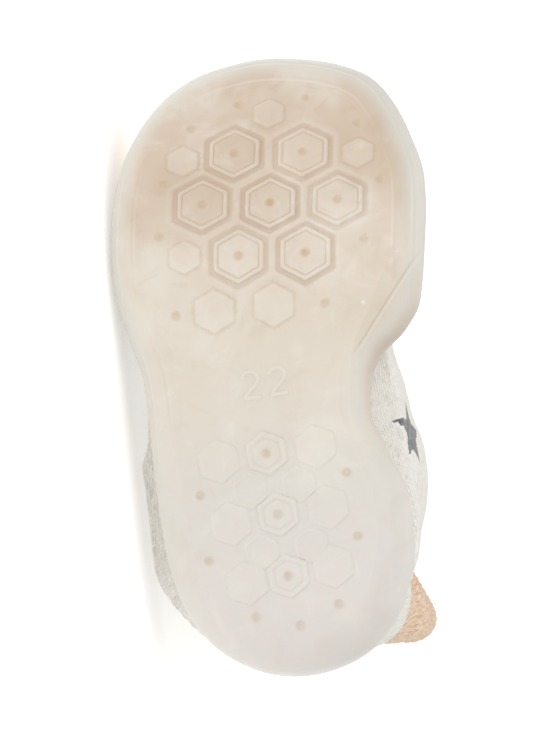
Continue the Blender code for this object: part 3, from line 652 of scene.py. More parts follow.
def relief(points):
    """Height, groove, pad and dot at rows of (distance along the tread, y)."""
    n = len(points)
    height, groove, pad, dot = np.zeros(n), np.zeros(n), np.zeros(n), np.zeros(n)
    owner = np.full(n, 1e9)
    for kind, s, y in BLOCKS:
        d, h, g, p = (np.array(c, float) for c in zip(*RELIEF[kind]))
        f = hex_distance(kind, (s, y), points)
        near = (f < d[-1]) & (f / d[-1] < owner)
        # where two frames meet, the higher one stands
        hh = np.interp(f, d, h)
        gg, pp = np.interp(f, d, g), np.interp(f, d, p)
        tint, pale, dark = TINTS.get((s, y), (.8, 0, 0))
        gg = gg * tint
        if kind == "big":
            face = step(4.45, 4.30, f)
            gg, pp = np.maximum(gg, dark * face), np.maximum(pp * (1 - face), pale * face)
        inner = f < 7.0 if kind == "big" else f < d[-3]
        take = near & (inner | (hh > height))
        height = np.where(take, hh, height)
        groove = np.where(take, gg, groove)
        pad = np.where(take, np.maximum(pp, np.where(inner, 0, pad)), pad)
        owner = np.where(take & inner, f / d[-1], owner)
    spots = [(s, y) for kind, s, y in BLOCKS if kind in ("big", "heel double")] + DIMPLES
    for s, y in spots:
        r = np.hypot(points[:, 0] - s, points[:, 1] - y)
        d, h, c = (np.array(k, float) for k in zip(*DIMPLE))
        height = height + np.interp(r, d, h)
        dot = np.maximum(dot, np.interp(r, d, c) * DOTS.get((s, y), .5))
        pad = np.where(r < 1.3, pad * np.interp(r, [1.0, 1.3], [0, 1]), pad)
    return height, groove, pad, dot


def within(points, outline):
    """Which points lie inside a closed outline."""
    a, b = outline, np.roll(outline, -1, 0)
    x, y = points[:, :1], points[:, 1:]
    crosses = (a[:, 1] > y) != (b[:, 1] > y)
    rise = np.where(b[:, 1] == a[:, 1], 1e-12, b[:, 1] - a[:, 1])
    at = a[:, 0] + (y - a[:, 1]) * (b[:, 0] - a[:, 0]) / rise
    return (crosses & (x < at)).sum(1) % 2 == 1


def fine_rows(e, widest, lip, crease):
    rows = []
    for k in range(13):                           # tread edge to the widest line
        a = math.radians(crease + (90 - crease) * k / 12)
        s0, c0 = math.sin(math.radians(crease)), math.cos(math.radians(crease))
        rows.append((e * (1 - (math.sin(a) - s0) / (1 - s0)), widest * (1 - math.cos(a) / c0)))
    for k in range(1, 8):                         # widest line to the lip
        a = math.radians(90 * k / 7)
        rows.append((1.5 * (1 - math.cos(a)), widest + (lip - 0.5 - widest) * math.sin(a)))
    for k in range(1, 7):                         # round lip
        a = math.pi * k / 6
        rows.append((1.5 + LIP_THICK / 2 * (1 - math.cos(a)), lip - 0.5 + 0.5 * math.sin(a)))
    inside_rows = [(1.5 + LIP_THICK, lip - 0.5), (0.6 + WALL_THICK, widest + 0.55 * (lip - widest)),
                   (WALL_THICK, widest), (WALL_THICK + 0.10 * e, 0.62 * widest),
                   (WALL_THICK + 0.42 * e, FLOOR_THICK)]
    for (n0, h0), (n1, h1) in zip(inside_rows, inside_rows[1:]):
        rows.append(((n0 + n1) / 2, (h0 + h1) / 2))
        rows.append((n1, h1))
    return rows


def make_outsole():
    sides, facts = cup_columns(FINE_STATIONS, fine_rows)
    rows = sides[0].shape[1]
    rings = [join_sides(sides, r) for r in range(rows)]
    about = [join_sides(facts, r) for r in range(rows)]
    m = len(rings[0])
    verts = list(np.concatenate(rings))
    faces = []
    for r in range(rows - 1):
        for i in range(m):
            j = (i + 1) % m
            faces.append((r * m + i, r * m + j, (r + 1) * m + j, (r + 1) * m + i))
    # inside floor of the cup, in strips across the shoe
    last = [(rows - 1) * m + k for k in range(m)]
    left, right = last[:FINE_STATIONS], [last[0]] + last[:FINE_STATIONS - 1:-1] + [last[FINE_STATIONS - 1]]
    for i in range(FINE_STATIONS - 1):
        face = []
        for k in (left[i], left[i + 1], right[i + 1], right[i]):
            if k not in face:
                face.append(k)
        faces.append(tuple(face))

    # the tread face, with every edge of the relief followed by an edge of the mesh
    edge = np.stack([np.interp(rings[0][:, 0], _sx, _arc), rings[0][:, 1]], 1)
    points, edges = [edge], [(i, (i + 1) % m) for i in range(m)]
    count = m
    for kind, s, y in BLOCKS:
        sides_of = 120 if kind == "big" else 72
        for d, *_ in RELIEF[kind][1:]:
            if kind == "big" and d > 7.4:
                continue
            ring = ring_points(kind, (s, y), d, sides_of)
            points.append(ring)
            edges += [(count + i, count + (i + 1) % sides_of) for i in range(sides_of)]
            count += sides_of
    spots = [(s, y) for kind, s, y in BLOCKS if kind in ("big", "heel double")] + DIMPLES
    for s, y in spots:
        for d, *_ in DIMPLE[1:]:
            a = np.linspace(0, 2 * math.pi, 20, endpoint=False)
            points.append(np.stack([s + d * np.cos(a), y + d * np.sin(a)], 1))
            edges += [(count + i, count + (i + 1) % 20) for i in range(20)]
            count += 20
    fixed = np.concatenate(points)
    pitch = 1.25
    gs, gy = np.meshgrid(np.arange(2.0, 152.0, pitch * 0.866), np.arange(-44.0, 32.0, pitch))
    gy = gy + (np.arange(gs.shape[1]) % 2)[None, :] * pitch / 2
    grid = np.stack([gs.ravel(), gy.ravel()], 1)
    grid = grid[within(grid, edge)]
    extra = np.concatenate([ring_points(kind, (s, y), 7.65, 60) for kind, s, y in BLOCKS if kind == "big"])
    kept = [fixed]
    for group, room in ((extra, 0.28), (grid, 0.62)):
        have = np.concatenate(kept)
        ok = np.ones(len(group), bool)
        for k in range(0, len(group), 1000):
            d = np.linalg.norm(group[k:k + 1000, None] - have[None], axis=2).min(1)
            ok[k:k + 1000] = d > room
        if room == 0.28:                           # thin out the points of shared lines
            chosen = []
            for k in np.nonzero(ok)[0]:
                if all(np.hypot(*(group[k] - group[c])) > 0.5 for c in chosen):
                    chosen.append(k)
            group = group[chosen]
        else:
            group = group[ok]
        kept.append(group)
    every = np.concatenate(kept)
    out_points, _, tris, origin, _, _ = delaunay_2d_cdt(
        [Vector(p) for p in every], edges, [], 1, 1e-5, True)
    flat = np.array([p[:] for p in out_points])
    middles = np.array([flat[list(t)].mean(0) for t in tris])
    tris = [t for t, ok in zip(tris, within(middles, edge)) if ok]
    height, groove, pad, dot = relief(flat)
    x = tread_at(flat[:, 0])
    slope = np.arctan(np.interp(x, _sx, _sd))
    back_to = {}
    for k, ids in enumerate(origin):
        for o in ids:
            if o < m:
                back_to[k] = o
    on_edge = np.array([k in back_to for k in range(len(flat))])
    away = np.ones(len(flat))
    for k in range(0, len(flat), 2000):
        away[k:k + 2000] = np.linalg.norm(flat[k:k + 2000, None] - edge[None], axis=2).min(1)
    height = height * step(0.0, 0.8, away)
    placed = np.stack([x + np.sin(slope) * height, flat[:, 1],
                       tread_z(x) - np.cos(slope) * height], 1)
    number = np.empty(len(flat), int)
    start = len(verts)
    fresh = [k for k in range(len(flat)) if k not in back_to]
    for k, o in back_to.items():
        number[k] = o
    for c, k in enumerate(fresh):
        number[k] = start + c
    verts = np.concatenate([np.array(verts), placed[fresh]])
    faces += [tuple(int(number[k]) for k in t) for t in tris]

    total = len(verts)
    ring_count = rows * m
    attr = {k: np.zeros(total) for k in ("along", "rim", "tan", "groove", "pad", "dot")}
    attr["along"] = verts[:, 0] / SOLE_LENGTH
    info = np.concatenate(about)
    attr["rim"][:ring_count] = info[:, 0] / 10.0
    depth = inside(verts[ring_count:, :2])[0]
    attr["rim"][ring_count:] = np.maximum(depth, 0) / 10.0
    outer_rows = np.arange(ring_count) // m >= 20
    attr["rim"][:ring_count][outer_rows] = 0.0
    # warm shade of the inner side wall beside the waist
    vx, vy = verts[:, 0], verts[:, 1]
    wall = np.zeros(total)
    wall[:ring_count] = step(0.5, 6.0, info[:, 1]) * step(0.6, 0.0, np.abs(info[:, 0]) / 9.0)
    notch = np.exp(-((vx - 70.0) / 20.0) ** 2) * step(5.0, 14.0, vy)
    attr["tan"] = 0.8 * wall * notch
    for key, values in (("groove", groove), ("pad", pad), ("dot", dot)):
        attr[key][start:] = values[fresh]
    fade = np.interp(attr["along"], [0.0, 0.36, 0.48, 1.0], [0.45, 0.5, 0.95, 1.0])
    attr["groove"] *= fade
    attr["last"] = verts
    return new_piece("rubber_cup", verts, faces, [RUBBER], attributes=attr,
                     replaced="outsole", sharp=55)


# ------------------------------------------------------------------- the sock
_oa = np.linspace(0.0, math.pi, 181)
_ox, _oo, _oi, _oeo, _oei = plan(_oa)
_outline = np.concatenate([np.stack([_ox, _oo], 1), np.stack([_ox, _oi], 1)[1:-1][::-1]])
_edge_inset = np.concatenate([_oeo, _oei[1:-1][::-1]])


def inside(points):
    """Depth inside the cup's outline, the nearest point of it, the way in from
    there and the tread inset there, for rows of (x, y)."""
    a, b = _outline, np.roll(_outline, -1, 0)
    ab = b - a
    long = (ab * ab).sum(1)
    depth, nears, ways, insets = [], [], [], []
    for k0 in range(0, len(points), 3000):
        p = points[k0:k0 + 3000]
        t = np.clip(((p[:, None] - a) * ab).sum(2) / long, 0, 1)
        near = a + t[..., None] * ab
        d = np.linalg.norm(p[:, None] - near, axis=2)
        k = d.argmin(1)
        row = np.arange(len(p))
        near, d = near[row, k], d[row, k]
        way = np.stack([-ab[k, 1], ab[k, 0]], 1)
        way /= np.linalg.norm(way, axis=1)[:, None]
        sign = np.sign(((p - near) * way).sum(1))
        depth.append(d * sign)
        nears.append(near)
        ways.append(way)
        insets.append(_edge_inset[k] * (1 - t[row, k]) + np.roll(_edge_inset, -1)[k] * t[row, k])
    return tuple(np.concatenate(g) for g in (depth, nears, ways, insets))


_resting = np.array(_up[:])
_resting_level = float(_resting @ np.array(FLOOR_AT))


def above_tread(p):
    depth, near, way, e = inside(p[:, :2])
    x = np.clip(p[:, 0], 0, SOLE_LENGTH)
    foot_x = near[:, 0] + way[:, 0] * e
    base = np.where(depth < e, tread_z(np.where((x < 27) | (x > 106), foot_x, x)), tread_z(x))
    return p[:, 2] - base, x, depth, near, way, e


def settle(points):
    """Keeps the sock inside the cup, on its floor and above the ground."""
    p = np.array(points, float)
    h, x, depth, near, way, e = above_tread(p)
    w, lip = wall_heights(x)
    floor_inset = WALL_THICK + 0.42 * e
    mid_inset = WALL_THICK + 0.10 * e
    need = np.where(h < FLOOR_THICK, floor_inset,
                    np.where(h < 0.62 * w,
                             floor_inset + (mid_inset - floor_inset) * (h - FLOOR_THICK) / (0.62 * w - FLOOR_THICK),
                             np.where(h < w,
                                      mid_inset + (WALL_THICK - mid_inset) * (h - 0.62 * w) / (0.38 * w),
                                      WALL_THICK + (1.5 + LIP_THICK - WALL_THICK) * np.clip((h - w) / (lip - 0.5 - w), 0, 1))))
    over = step(0, 1, (h - lip - LIP_CLEAR) / LIP_ROOM)
    need = need + GAP + HEEL_ROOM * np.clip((28 - x) / 12, 0, 1)
    need = need + (-PROUD - need) * over
    push = depth < need
    p[push, :2] = (near + way * need[:, None])[push]
    p[:, 2] = np.maximum(p[:, 2], tread_z(p[:, 0]) + FLOOR_THICK + GAP)
    low = p @ _resting - _resting_level
    return p - np.minimum(low, 0)[:, None] * _resting


def half_section(row, inner_side):
    """Points from the front or top of a section down one side to its bottom."""
    fx, fz, fy, bx, bz, by, outer, inner, s_out, s_in, up, down = row
    widest, edge = (s_in, inner) if inner_side else (s_out, outer)
    reach = edge - (fy + (by - fy) * widest)
    a = np.linspace(0, math.pi / 2, 27)[:-1]
    u = np.linspace(0, 0.9, 24)
    g = np.linspace((1 - 0.9**down) ** (1 / down), 0, 12)[1:]
    s = np.concatenate([widest * (1 - np.cos(a) ** (2 / up)), widest + (1 - widest) * u,
                        widest + (1 - widest) * (1 - g**down) ** (1 / down)])
    w = np.concatenate([np.sin(a) ** (2 / up), (1 - u**down) ** (1 / down), g])
    return np.stack([fx + (bx - fx) * s, fy + (by - fy) * s + reach * w, fz + (bz - fz) * s], 1)


def table_at(t):
    columns = list(zip(*SECTIONS))[1:]
    return np.stack([smooth(range(len(SECTIONS)), c, t) for c in columns], 1)


def evenly(line, pieces):
    """The line cut into so many equal pieces."""
    d = np.concatenate([[0], np.cumsum(np.linalg.norm(np.diff(line, axis=0), axis=1))])
    q = np.linspace(0, d[-1], pieces + 1)
    return np.stack([np.interp(q, d, line[:, k]) for k in range(3)], 1)


def sock_rings(rows):
    """Rings of the sock, settled into the cup and spaced evenly round."""
    halves = [[half_section(r, side) for r in rows] for side in (False, True)]
    stack = np.array(halves)                       # side, ring, point, xyz
    shape = stack.shape
    stack = settle(stack.reshape(-1, 3)).reshape(shape)
    rings = []
    for i in range(shape[1]):
        down = evenly(stack[0, i], COLUMNS // 2)
        up = evenly(stack[1, i], COLUMNS // 2)
        down[-1] = up[-1] = (down[-1] + up[-1]) / 2
        rings.append(np.concatenate([down[:-1], up[::-1][:-1]]))
    return np.array(rings)


def ring_normals(rings, pole):
    n, m, _ = rings.shape
    grid = np.concatenate([np.broadcast_to(pole, (1, m, 3)), rings])
    total = np.zeros((n + 1, m, 3))
    nxt = (np.arange(m) + 1) % m
    for i in range(n):
        f = np.cross(grid[i][:, :] - grid[i + 1][nxt], grid[i + 1] - grid[i][nxt])
        f /= np.maximum(np.linalg.norm(f, axis=1), 1e-12)[:, None]
        total[i] += f
        total[i + 1] += f
        total[i + 1][nxt] += f
        total[i][nxt] += f
    total /= np.maximum(np.linalg.norm(total, axis=2), 1e-12)[..., None]
    return total[1:]


# Soft creases of the slack sock: (points of its line in x, y, z), half width, depth.
CREASES = [
    ([(80, -30, 34), (84, -16, 47), (84, -4, 51), (82, 10, 44), (78, 19, 32)], 2.6, 0.8),
    ([(73, -31, 38), (76.5, -17, 51), (76.5, -5, 55), (75, 9, 49), (71, 19, 37)], 2.4, 1.1),
    ([(66, -32, 42), (70.5, -18, 54), (71.5, -5, 58), (69.5, 9, 53), (64, 20, 42)], 2.2, 1.1),
    ([(52, -32, 47), (60, -24, 56), (66, -12, 61), (67.5, -1, 61.5), (64, 10, 58), (56, 18, 50)], 2.2, 0.9),
    ([(6, -14, 32), (3.5, -4, 30), (3.5, 6, 30), (7, 14, 33)], 2.6, 0.7),
    ([(10, -18, 46), (7, -4, 43), (8, 8, 44), (13, 16, 48)], 2.8, 0.8),
    ([(30, -35, 30), (44, -36, 33), (57, -34, 38)], 3.0, 0.7),
    ([(34, 27, 25), (46, 26, 29), (56, 23, 35)], 2.8, 0.45),
]


def crease_depth(points):
    total = np.zeros(len(points))
    for line, width, depth in CREASES:
        t = np.linspace(0, len(line) - 1, 50)
        dense = np.stack([smooth(range(len(line)), c, t) for c in zip(*line)], 1)
        nearest = np.full(len(points), 1e9)
        which = np.zeros(len(points), int)
        for k, q in enumerate(dense):
            d = np.linalg.norm(points - q, axis=1)
            closer = d < nearest
            nearest = np.where(closer, d, nearest)
            which = np.where(closer, k, which)
        along = which / 49.0
        ends = np.sin(np.pi * np.clip(along, 0.02, 0.98)) ** 0.5
        r = nearest / width
        total += depth * ends * (-np.exp(-r * r) + 0.45 * np.exp(-((r - 2.1) / 0.9) ** 2))
    return total


def make_sock():
    # rings at even distances along the sock
    coarse_t = np.linspace(0, len(SECTIONS) - 1, 361)
    coarse = table_at(coarse_t)
    line = np.array([half_section(r, s)[::6] for r in coarse for s in (False, True)])
    line = line.reshape(len(coarse_t), -1, 3)
    advance = np.linalg.norm(np.diff(line, axis=0), axis=2)
    advance = 0.5 * advance.mean(1) + 0.5 * advance.max(1) * 0.6
    along = np.concatenate([[0], np.cumsum(advance)])
    t = np.interp(np.linspace(0, along[-1], ROWS), along, coarse_t)
    rings = sock_rings(table_at(t))
    n, m, _ = rings.shape

    def ring_at(name, part=0.0):
        return int(np.searchsorted(t, NAMES.index(name) + part))

    cuff = ring_at("cuff foot")
    pole = np.array(TOE_POLE)
    normal = ring_normals(rings, pole)
    mid = n // 2
    if (normal[mid] * (rings[mid] - rings[mid].mean(0))).sum() < 0:
        normal = -normal

    # how far a point is clear of the cup, from 0 at the lip to 1 well above it
    flat = rings.reshape(-1, 3)
    h, x, *_ = above_tread(flat)
    _, lip = wall_heights(x)
    clear = step(0.5, 7.0, h - lip).reshape(n, m)
    creases = crease_depth(flat).reshape(n, m)
    slack = np.array([noise.noise(Vector(p) * 0.05) * 0.5 + noise.noise(Vector(p) * 0.13) * 0.18
                      for p in flat.tolist()]).reshape(n, m)
    # ribs of the cuff, with a rolled edge and a soft start
    column = np.arange(m)
    rib = np.cos(2 * math.pi * column * CUFF_RIBS / m)
    rib = np.sign(rib) * np.abs(rib) ** 0.7
    rows_up = np.arange(n)[:, None]
    in_cuff = step(cuff - 1.0, cuff + 1.5, rows_up)
    to_edge = (n - 1 - rows_up) / max(1, n - 1 - cuff)
    cuff_out = in_cuff * (CUFF_EXTRA + 0.25 * np.exp(-((to_edge - 0.06) / 0.10) ** 2))
    ribs = in_cuff * rib[None, :] * 0.11 * (1 - 0.5 * np.exp(-(to_edge / 0.05) ** 2))
    pinch = -0.35 * np.exp(-((rows_up - cuff + 1.5) / 1.6) ** 2)
    out = clear * (creases * (1 - 0.8 * in_cuff) + slack) + (cuff_out + ribs + pinch) * step(0.0, 0.6, clear)
    outer = rings + normal * out[..., None]
    low = outer @ _resting - _resting_level
    outer = outer - np.minimum(low + 0.15 * clear * 0, 0)[..., None] * _resting
    inner_out = clear * (creases * 0.8 + slack) + (cuff_out * 0.35 - ribs * 0.6) * step(0.0, 0.6, clear)
    inner = rings + normal * (np.minimum(inner_out, out) - KNIT)[..., None]
    floor = tread_z(inner[..., 0]) + FLOOR_THICK + GAP + KNIT
    inner[..., 2] = np.maximum(inner[..., 2], np.where(inner[..., 2] < floor + 0.6, floor, -1e9))

    # stitch counts: alike all round, but for the longer way round the heel
    length = np.linalg.norm(np.diff(rings, axis=0), axis=2)          # ring, column
    length = length.reshape(n - 1, WALES, 2).mean(2)
    start, stop = ring_at("vamp", 0.3), ring_at("ankle", 0.3)
    course = np.zeros((n, WALES))
    lead = np.concatenate([[0], np.cumsum(length[:start].mean(1))]) / COURSE
    lead *= round(lead[-1]) / lead[-1]
    course[:start + 1] = lead[:, None]
    total = length[start:stop].sum(0) / COURSE
    part = np.concatenate([np.zeros((1, WALES)), np.cumsum(length[start:stop], axis=0)]) / COURSE
    part = part / np.maximum(total, 1e-9) * np.round(total)
    course[start:stop + 1] = lead[-1] + part
    tail = np.concatenate([[0], np.cumsum(length[stop:].mean(1))]) / COURSE
    course[stop:] = course[stop][None] + tail[:, None]

    first, last = ring_at("toe joint"), ring_at("heel seat")
    bottom, span = m // 2, 26
    lo_c, hi_c = bottom - span, bottom + span
    toe_end = ring_at("ball front", 0.35)
    peach_from = ring_at("ankle", 0.50)

    def hidden(i, j):
        return first <= i < last and lo_c <= j < hi_c

    verts = [outer.reshape(-1, 3), inner.reshape(-1, 3), pole[None], (pole - np.array((KNIT, 0, 0)))[None]]
    a0, b0, tip_a, tip_b = 0, n * m, 2 * n * m, 2 * n * m + 1
    faces, uvs, slots = [], [], []

    def kind_of(i):
        return 1 if (i >= peach_from or i < toe_end) else 0

    for skin, base, tip in ((0, a0, tip_a), (1, b0, tip_b)):
        for j in range(m):
            k = (j + 1) % m
            w = j // 2
            corner = [(base + k, (j + 1) / 2, course[0, w]), (base + j, j / 2, course[0, w]),
                      (tip, (j + 0.5) / 2, course[0, w] - 1.5)]
            if skin:
                corner.reverse()
            faces.append(tuple(c[0] for c in corner))
            uvs += [c[1:] for c in corner]
            slots.append(1)
        for i in range(n - 1):
            kind = kind_of(i)
            for j in range(m):
                if hidden(i, j):
                    continue
                k = (j + 1) % m
                w = j // 2
                v0, v1 = course[i, w], course[i + 1, w]
                corner = [(base + i * m + j, j / 2, v0), (base + i * m + k, (j + 1) / 2, v0),
                          (base + (i + 1) * m + k, (j + 1) / 2, v1), (base + (i + 1) * m + j, j / 2, v1)]
                if skin:
                    corner.reverse()
                faces.append(tuple(c[0] for c in corner))
                uvs += [c[1:] for c in corner]
                slots.append(kind)
    # rounded collar edge
    edge_rows_ = [a0 + (n - 1) * m]
    extra, steps_round = [], 4
    count = 2 * n * m + 2
    upward = (outer[n - 1] - outer[n - 2])
    upward /= np.linalg.norm(upward, axis=1)[:, None]
    centre = (outer[n - 1] + inner[n - 1]) / 2
    arm = (outer[n - 1] - inner[n - 1]) / 2
    rise = np.linalg.norm(arm, axis=1)[:, None] * upward * 0.75
    for s in range(1, steps_round):
        a = math.pi * s / steps_round
        extra.append(centre + arm * math.cos(a) + rise * math.sin(a))
        edge_rows_.append(count)
        count += m
    edge_rows_.append(b0 + (n - 1) * m)
    verts += extra
    for s, (p, q) in enumerate(zip(edge_rows_, edge_rows_[1:])):
        for j in range(m):
            k = (j + 1) % m
            w = j // 2
            v0, v1 = course[n - 1, w] + 0.6 * s, course[n - 1, w] + 0.6 * (s + 1)
            faces.append((p + j, p + k, q + k, q + j))
            uvs += [(j / 2, v0), ((j + 1) / 2, v0), ((j + 1) / 2, v1), (j / 2, v1)]
            slots.append(1)
    # turned-in edge of the opening underneath
    rim = ([(i, lo_c) for i in range(first, last)] + [(last, j) for j in range(lo_c, hi_c)]
           + [(i, hi_c) for i in range(last, first, -1)] + [(first, j) for j in range(hi_c, lo_c, -1)])
    for p, q in zip(rim, rim[1:] + rim[:1]):
        ip, iq = p[0] * m + p[1], q[0] * m + q[1]
        faces.append((a0 + ip, a0 + iq, b0 + iq, b0 + ip))
        uvs += [(0, 0), (0.5, 0), (0.5, 1), (0, 1)]
        slots.append(0)
    verts = np.concatenate(verts)
    # where the star lies on the inner side: its own plane, in millimetres
    want = np.array((57.0, 25.0, 23.2))
    gap = np.linalg.norm(outer - want, axis=2)
    gap[:, :m // 2] = 1e9
    ci, cj = np.unravel_index(gap.argmin(), gap.shape)
    centre = outer[ci, cj]
    lead_way = outer[ci + 3, cj] - outer[ci - 3, cj]
    face_out = normal[ci, cj]
    lead_way -= face_out * (lead_way @ face_out)
    lead_way /= np.linalg.norm(lead_way)
    # the star's top points towards the cuff
    cuff_way = np.array((0.25, 0.0, 1.0))
    cuff_way = cuff_way - face_out * (cuff_way @ face_out)
    cuff_way /= np.linalg.norm(cuff_way)
    sideways = np.cross(face_out, cuff_way)
    local = verts - centre
    star = np.stack([local @ sideways, local @ cuff_way,
                     (np.linalg.norm(local, axis=1) < 16).astype(float) * (local @ face_out > -9)], 1)
    used = np.unique(np.concatenate([np.asarray(f) for f in faces]))
    remap = np.full(len(verts), -1)
    remap[used] = np.arange(len(used))
    faces = [tuple(remap[list(f)].tolist()) for f in faces]
    return new_piece("knitted_sock", verts[used], faces, [KNIT_BODY, KNIT_PEACH], uvs=uvs, slots=slots,
                     attributes={"star": star[used]}, replaced="upper", sharp=75)


# ----------------------------------------------------------------- the insole
def make_insole():
    """A foam sheet with a soft round edge, a little crowned."""
    stations = 120
    angles = np.linspace(0.0, math.pi, stations)
    x, out, inn, eo, ei = plan(angles)
    mid = (out + inn) / 2
    base_x = np.clip(x, 27.0, 106.0)
    low = FLOOR_THICK + GAP + KNIT + MARGIN_UP
    profile = [(8.0, low), (1.2, low), (0.5, low + 0.1), (0.1, low + 0.45), (0.0, low + 1.0),
               (0.12, low + 1.5), (0.5, low + 1.85), (1.2, low + INSOLE_THICK), (3.0, low + INSOLE_THICK + 0.05),
               (6.0, low + INSOLE_THICK + 0.1), (9.0, low + INSOLE_THICK + 0.12)]
    rows = []
    for extra, height in profile:
        sides = []
        for y, e in ((out, eo), (inn, ei)):
            away = np.stack([base_x - x, mid - y], 1)
            far = np.linalg.norm(away, axis=1)
            away /= np.maximum(far, 1e-9)[:, None]
            inset = (WALL_THICK + 0.42 * e + GAP + KNIT + 1.4
                     + INSOLE_TOE_ROOM * np.clip((x - 112) / 18, 0, 1))
            inset = inset + np.minimum(extra, 0.6 * np.maximum(far - inset, 0))
            px, py = x + away[:, 0] * inset, y + away[:, 1] * inset
            sides.append(np.stack([px, py, tread_z(px) + height], 1))
        rows.append(np.concatenate([sides[0], sides[1][1:-1][::-1]]))
    m = len(rows[0])
    faces = []
    for r in range(len(rows) - 1):
        for i in range(m):
            j = (i + 1) % m
            faces.append((r * m + i, r * m + j, (r + 1) * m + j, (r + 1) * m + i))
    for r, flip in ((0, True), (len(rows) - 1, False)):
        ring = [r * m + k for k in range(m)]
        left, right = ring[:stations], [ring[0]] + ring[:stations - 1:-1] + [ring[stations - 1]]
        for i in range(stations - 1):
            face = []
            for k in (left[i], left[i + 1], right[i + 1], right[i]):
                if k not in face:
                    face.append(k)
            faces.append(tuple(face[::-1] if flip else face))
    piece = new_piece("foam_insole", np.concatenate(rows), faces, [INSOLE],
                      replaced="insole", sharp=80)
    return piece


# ------------------------------------------------------- number in the waist
NUMBER_AT, NUMBER_TURN = (65.2, -5.7), 9.0
TWO = [(.03, .74), (.05, .86), (.14, .95), (.30, 1.0), (.46, .95), (.56, .85), (.58, .72), (.53, .58),
       (.42, .45), (.28, .31), (.14, .16), (.03, .0), (.30, .0), (.60, .0)]


def make_number():
    """A plain size number in low relief: beads of rubber along the strokes."""
    verts, faces = [], []
    high, wide, stroke, relief_up = 6.0, 6.6, 0.85, 0.07
    turn = math.radians(NUMBER_TURN)
    for left in (-5.0, 1.1):
        path = np.array(TWO) * (wide, high) + (left, -high / 2)
        fine = []
        for a, b in zip(path, path[1:]):
            for k in range(4):
                fine.append(a + (b - a) * k / 4)
        fine.append(path[-1])
        fine = np.array(fine)
        way = np.gradient(fine, axis=0)
        way /= np.linalg.norm(way, axis=1)[:, None]
        side = np.stack([-way[:, 1], way[:, 0]], 1)
        first = len(verts)
        section = [(-.5, -.25), (-.5, .02), (-.36, .8), (-.2, 1), (.2, 1), (.36, .8), (.5, .02), (.5, -.25)]
        for p, q in zip(fine, side):
            for across, up in section:
                at = p + q * across * stroke
                right = at[0] * math.cos(turn) - at[1] * math.sin(turn)
                ahead = at[0] * math.sin(turn) + at[1] * math.cos(turn)
                s, y = NUMBER_AT[0] + ahead, NUMBER_AT[1] + right
                px = float(tread_at(s))
                verts.append((px, y, float(tread_z(px)) - up * relief_up))
        k = len(section)
        for i in range(len(fine) - 1):
            for j in range(k):
                l = (j + 1) % k
                faces.append((first + i * k + j, first + i * k + l, first + (i + 1) * k + l, first + (i + 1) * k + j))
        faces.append(tuple(first + j for j in range(k))[::-1])
        faces.append(tuple(first + (len(fine) - 1) * k + j for j in range(k)))
    verts = np.array(verts)
    volume = sum(verts[f[0]] @ np.cross(verts[a], verts[b])
                 for f in faces for a, b in zip(f[1:], f[2:]))
    if volume < 0:
        faces = [f[::-1] for f in faces]
    total = len(verts)
    attr = {k: np.zeros(total) for k in ("rim", "tan", "groove", "pad", "dot")}
    attr["along"] = verts[:, 0] / SOLE_LENGTH
    attr["rim"][:] = 1.5
    raised = tread_z(verts[:, 0]) - verts[:, 2]
    attr["groove"] = np.zeros(total)
    attr["pad"] = np.where(raised > 0.06, 0.35, 0.15)
    attr["last"] = verts
    # thin beads: no light is scattered through them
    bead = RUBBER.copy()
    bead.name = "milky_rubber_bead"
    for node in bead.node_tree.nodes:
        if node.type == "BSDF_PRINCIPLED":
            node.inputs["Subsurface Weight"].default_value = 0.0
    return new_piece("size_number", verts, faces, [bead], attributes=attr, sharp=60)


make_outsole()
make_sock()
make_insole()
make_number()

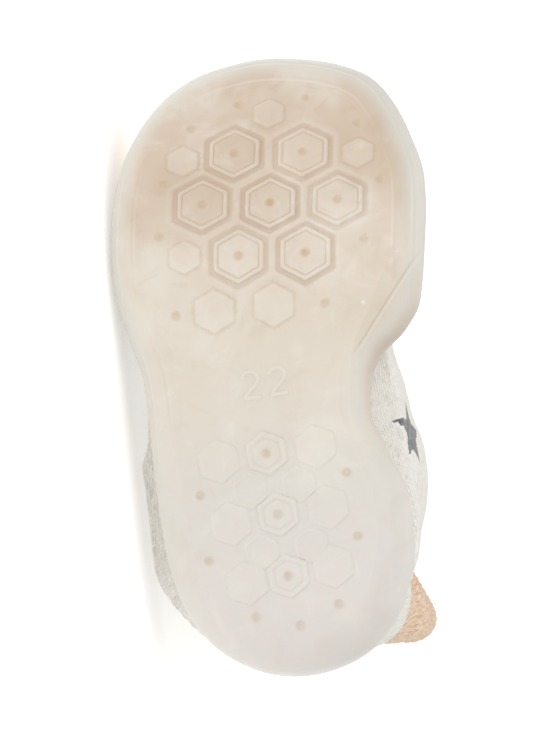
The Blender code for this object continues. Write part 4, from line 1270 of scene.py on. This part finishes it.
# ------------------------------------------------------- camera, floor, lights
CAMERA_WAY = (-math.sin(math.radians(9)) * math.cos(math.radians(8)), math.sin(math.radians(8)),
              -math.cos(math.radians(9)) * math.cos(math.radians(8)))
to_camera = Vector(lay_way(CAMERA_WAY))
up_way = Vector(lay_way((0.987, 0.0, -0.1564)))
right_way = up_way.cross(to_camera).normalized()
up_way = to_camera.cross(right_way).normalized()
FRAME_MM = 0.2231 * 734
last_right = np.array((0.0218, 0.990, 0.1375))
last_up = np.array((0.987, 0.0, -0.1564))
aim = Vector(lay(last_right * ((275 - 283) * 0.224) + last_up * ((668.2 - 367) * 0.224)))
DISTANCE = 5.0
data = bpy.data.cameras.new("camera")
data.sensor_width = 36.0
data.lens = 36.0 * DISTANCE / (FRAME_MM * MM)
data.clip_start, data.clip_end = 0.05, 150.0
camera = bpy.data.objects.new("camera", data)
bpy.context.scene.collection.objects.link(camera)
spin = Matrix((right_way, up_way, to_camera)).transposed()
camera.matrix_world = Matrix.Translation(aim + to_camera * DISTANCE) @ spin.to_4x4()
bpy.context.scene.camera = camera

floor_mesh = bpy.data.meshes.new("floor")
floor_mesh.from_pydata([(-40, -40, 0), (40, -40, 0), (40, 40, 0), (-40, 40, 0)], [], [(0, 1, 2, 3)])
floor_mesh.materials.append(floor_material())
floor = bpy.data.objects.new("floor", floor_mesh)
floor.location.z = -0.0002
bpy.context.scene.collection.objects.link(floor)


def soft_light(name, way, distance, size, watts, colour=(1, 1, 1)):
    light = bpy.data.lights.new(name, "AREA")
    light.shape = "SQUARE"
    light.size = size
    light.energy = watts
    light.color = colour
    obj = bpy.data.objects.new(name, light)
    way = Vector(way).normalized()
    obj.location = Vector((0, 0, 0.035)) + way * distance
    obj.rotation_mode = "QUATERNION"
    obj.rotation_quaternion = (-way).to_track_quat("-Z", "Y")
    bpy.context.scene.collection.objects.link(obj)
    return obj


soft_light("key", to_camera + up_way * 0.55 + right_way * 0.75, 1.3, 0.7, 2.8)
soft_light("front", to_camera + up_way * 0.25 - right_way * 0.10, 2.5, 1.4, 4.6)
soft_light("overhead", (0.0, 0.15, 1.0), 1.6, 1.8, 6.6)
soft_light("behind", (-0.2, 1.0, 0.9), 1.5, 1.2, 2.0)

world = bpy.data.worlds.new("studio")
world.use_nodes = True
world.node_tree.nodes["Background"].inputs["Color"].default_value = (1.0, 1.0, 1.0, 1.0)
world.node_tree.nodes["Background"].inputs["Strength"].default_value = 0.665
bpy.context.scene.world = world
bpy.context.scene.view_settings.view_transform = "Standard"
bpy.context.scene.view_settings.look = "None"
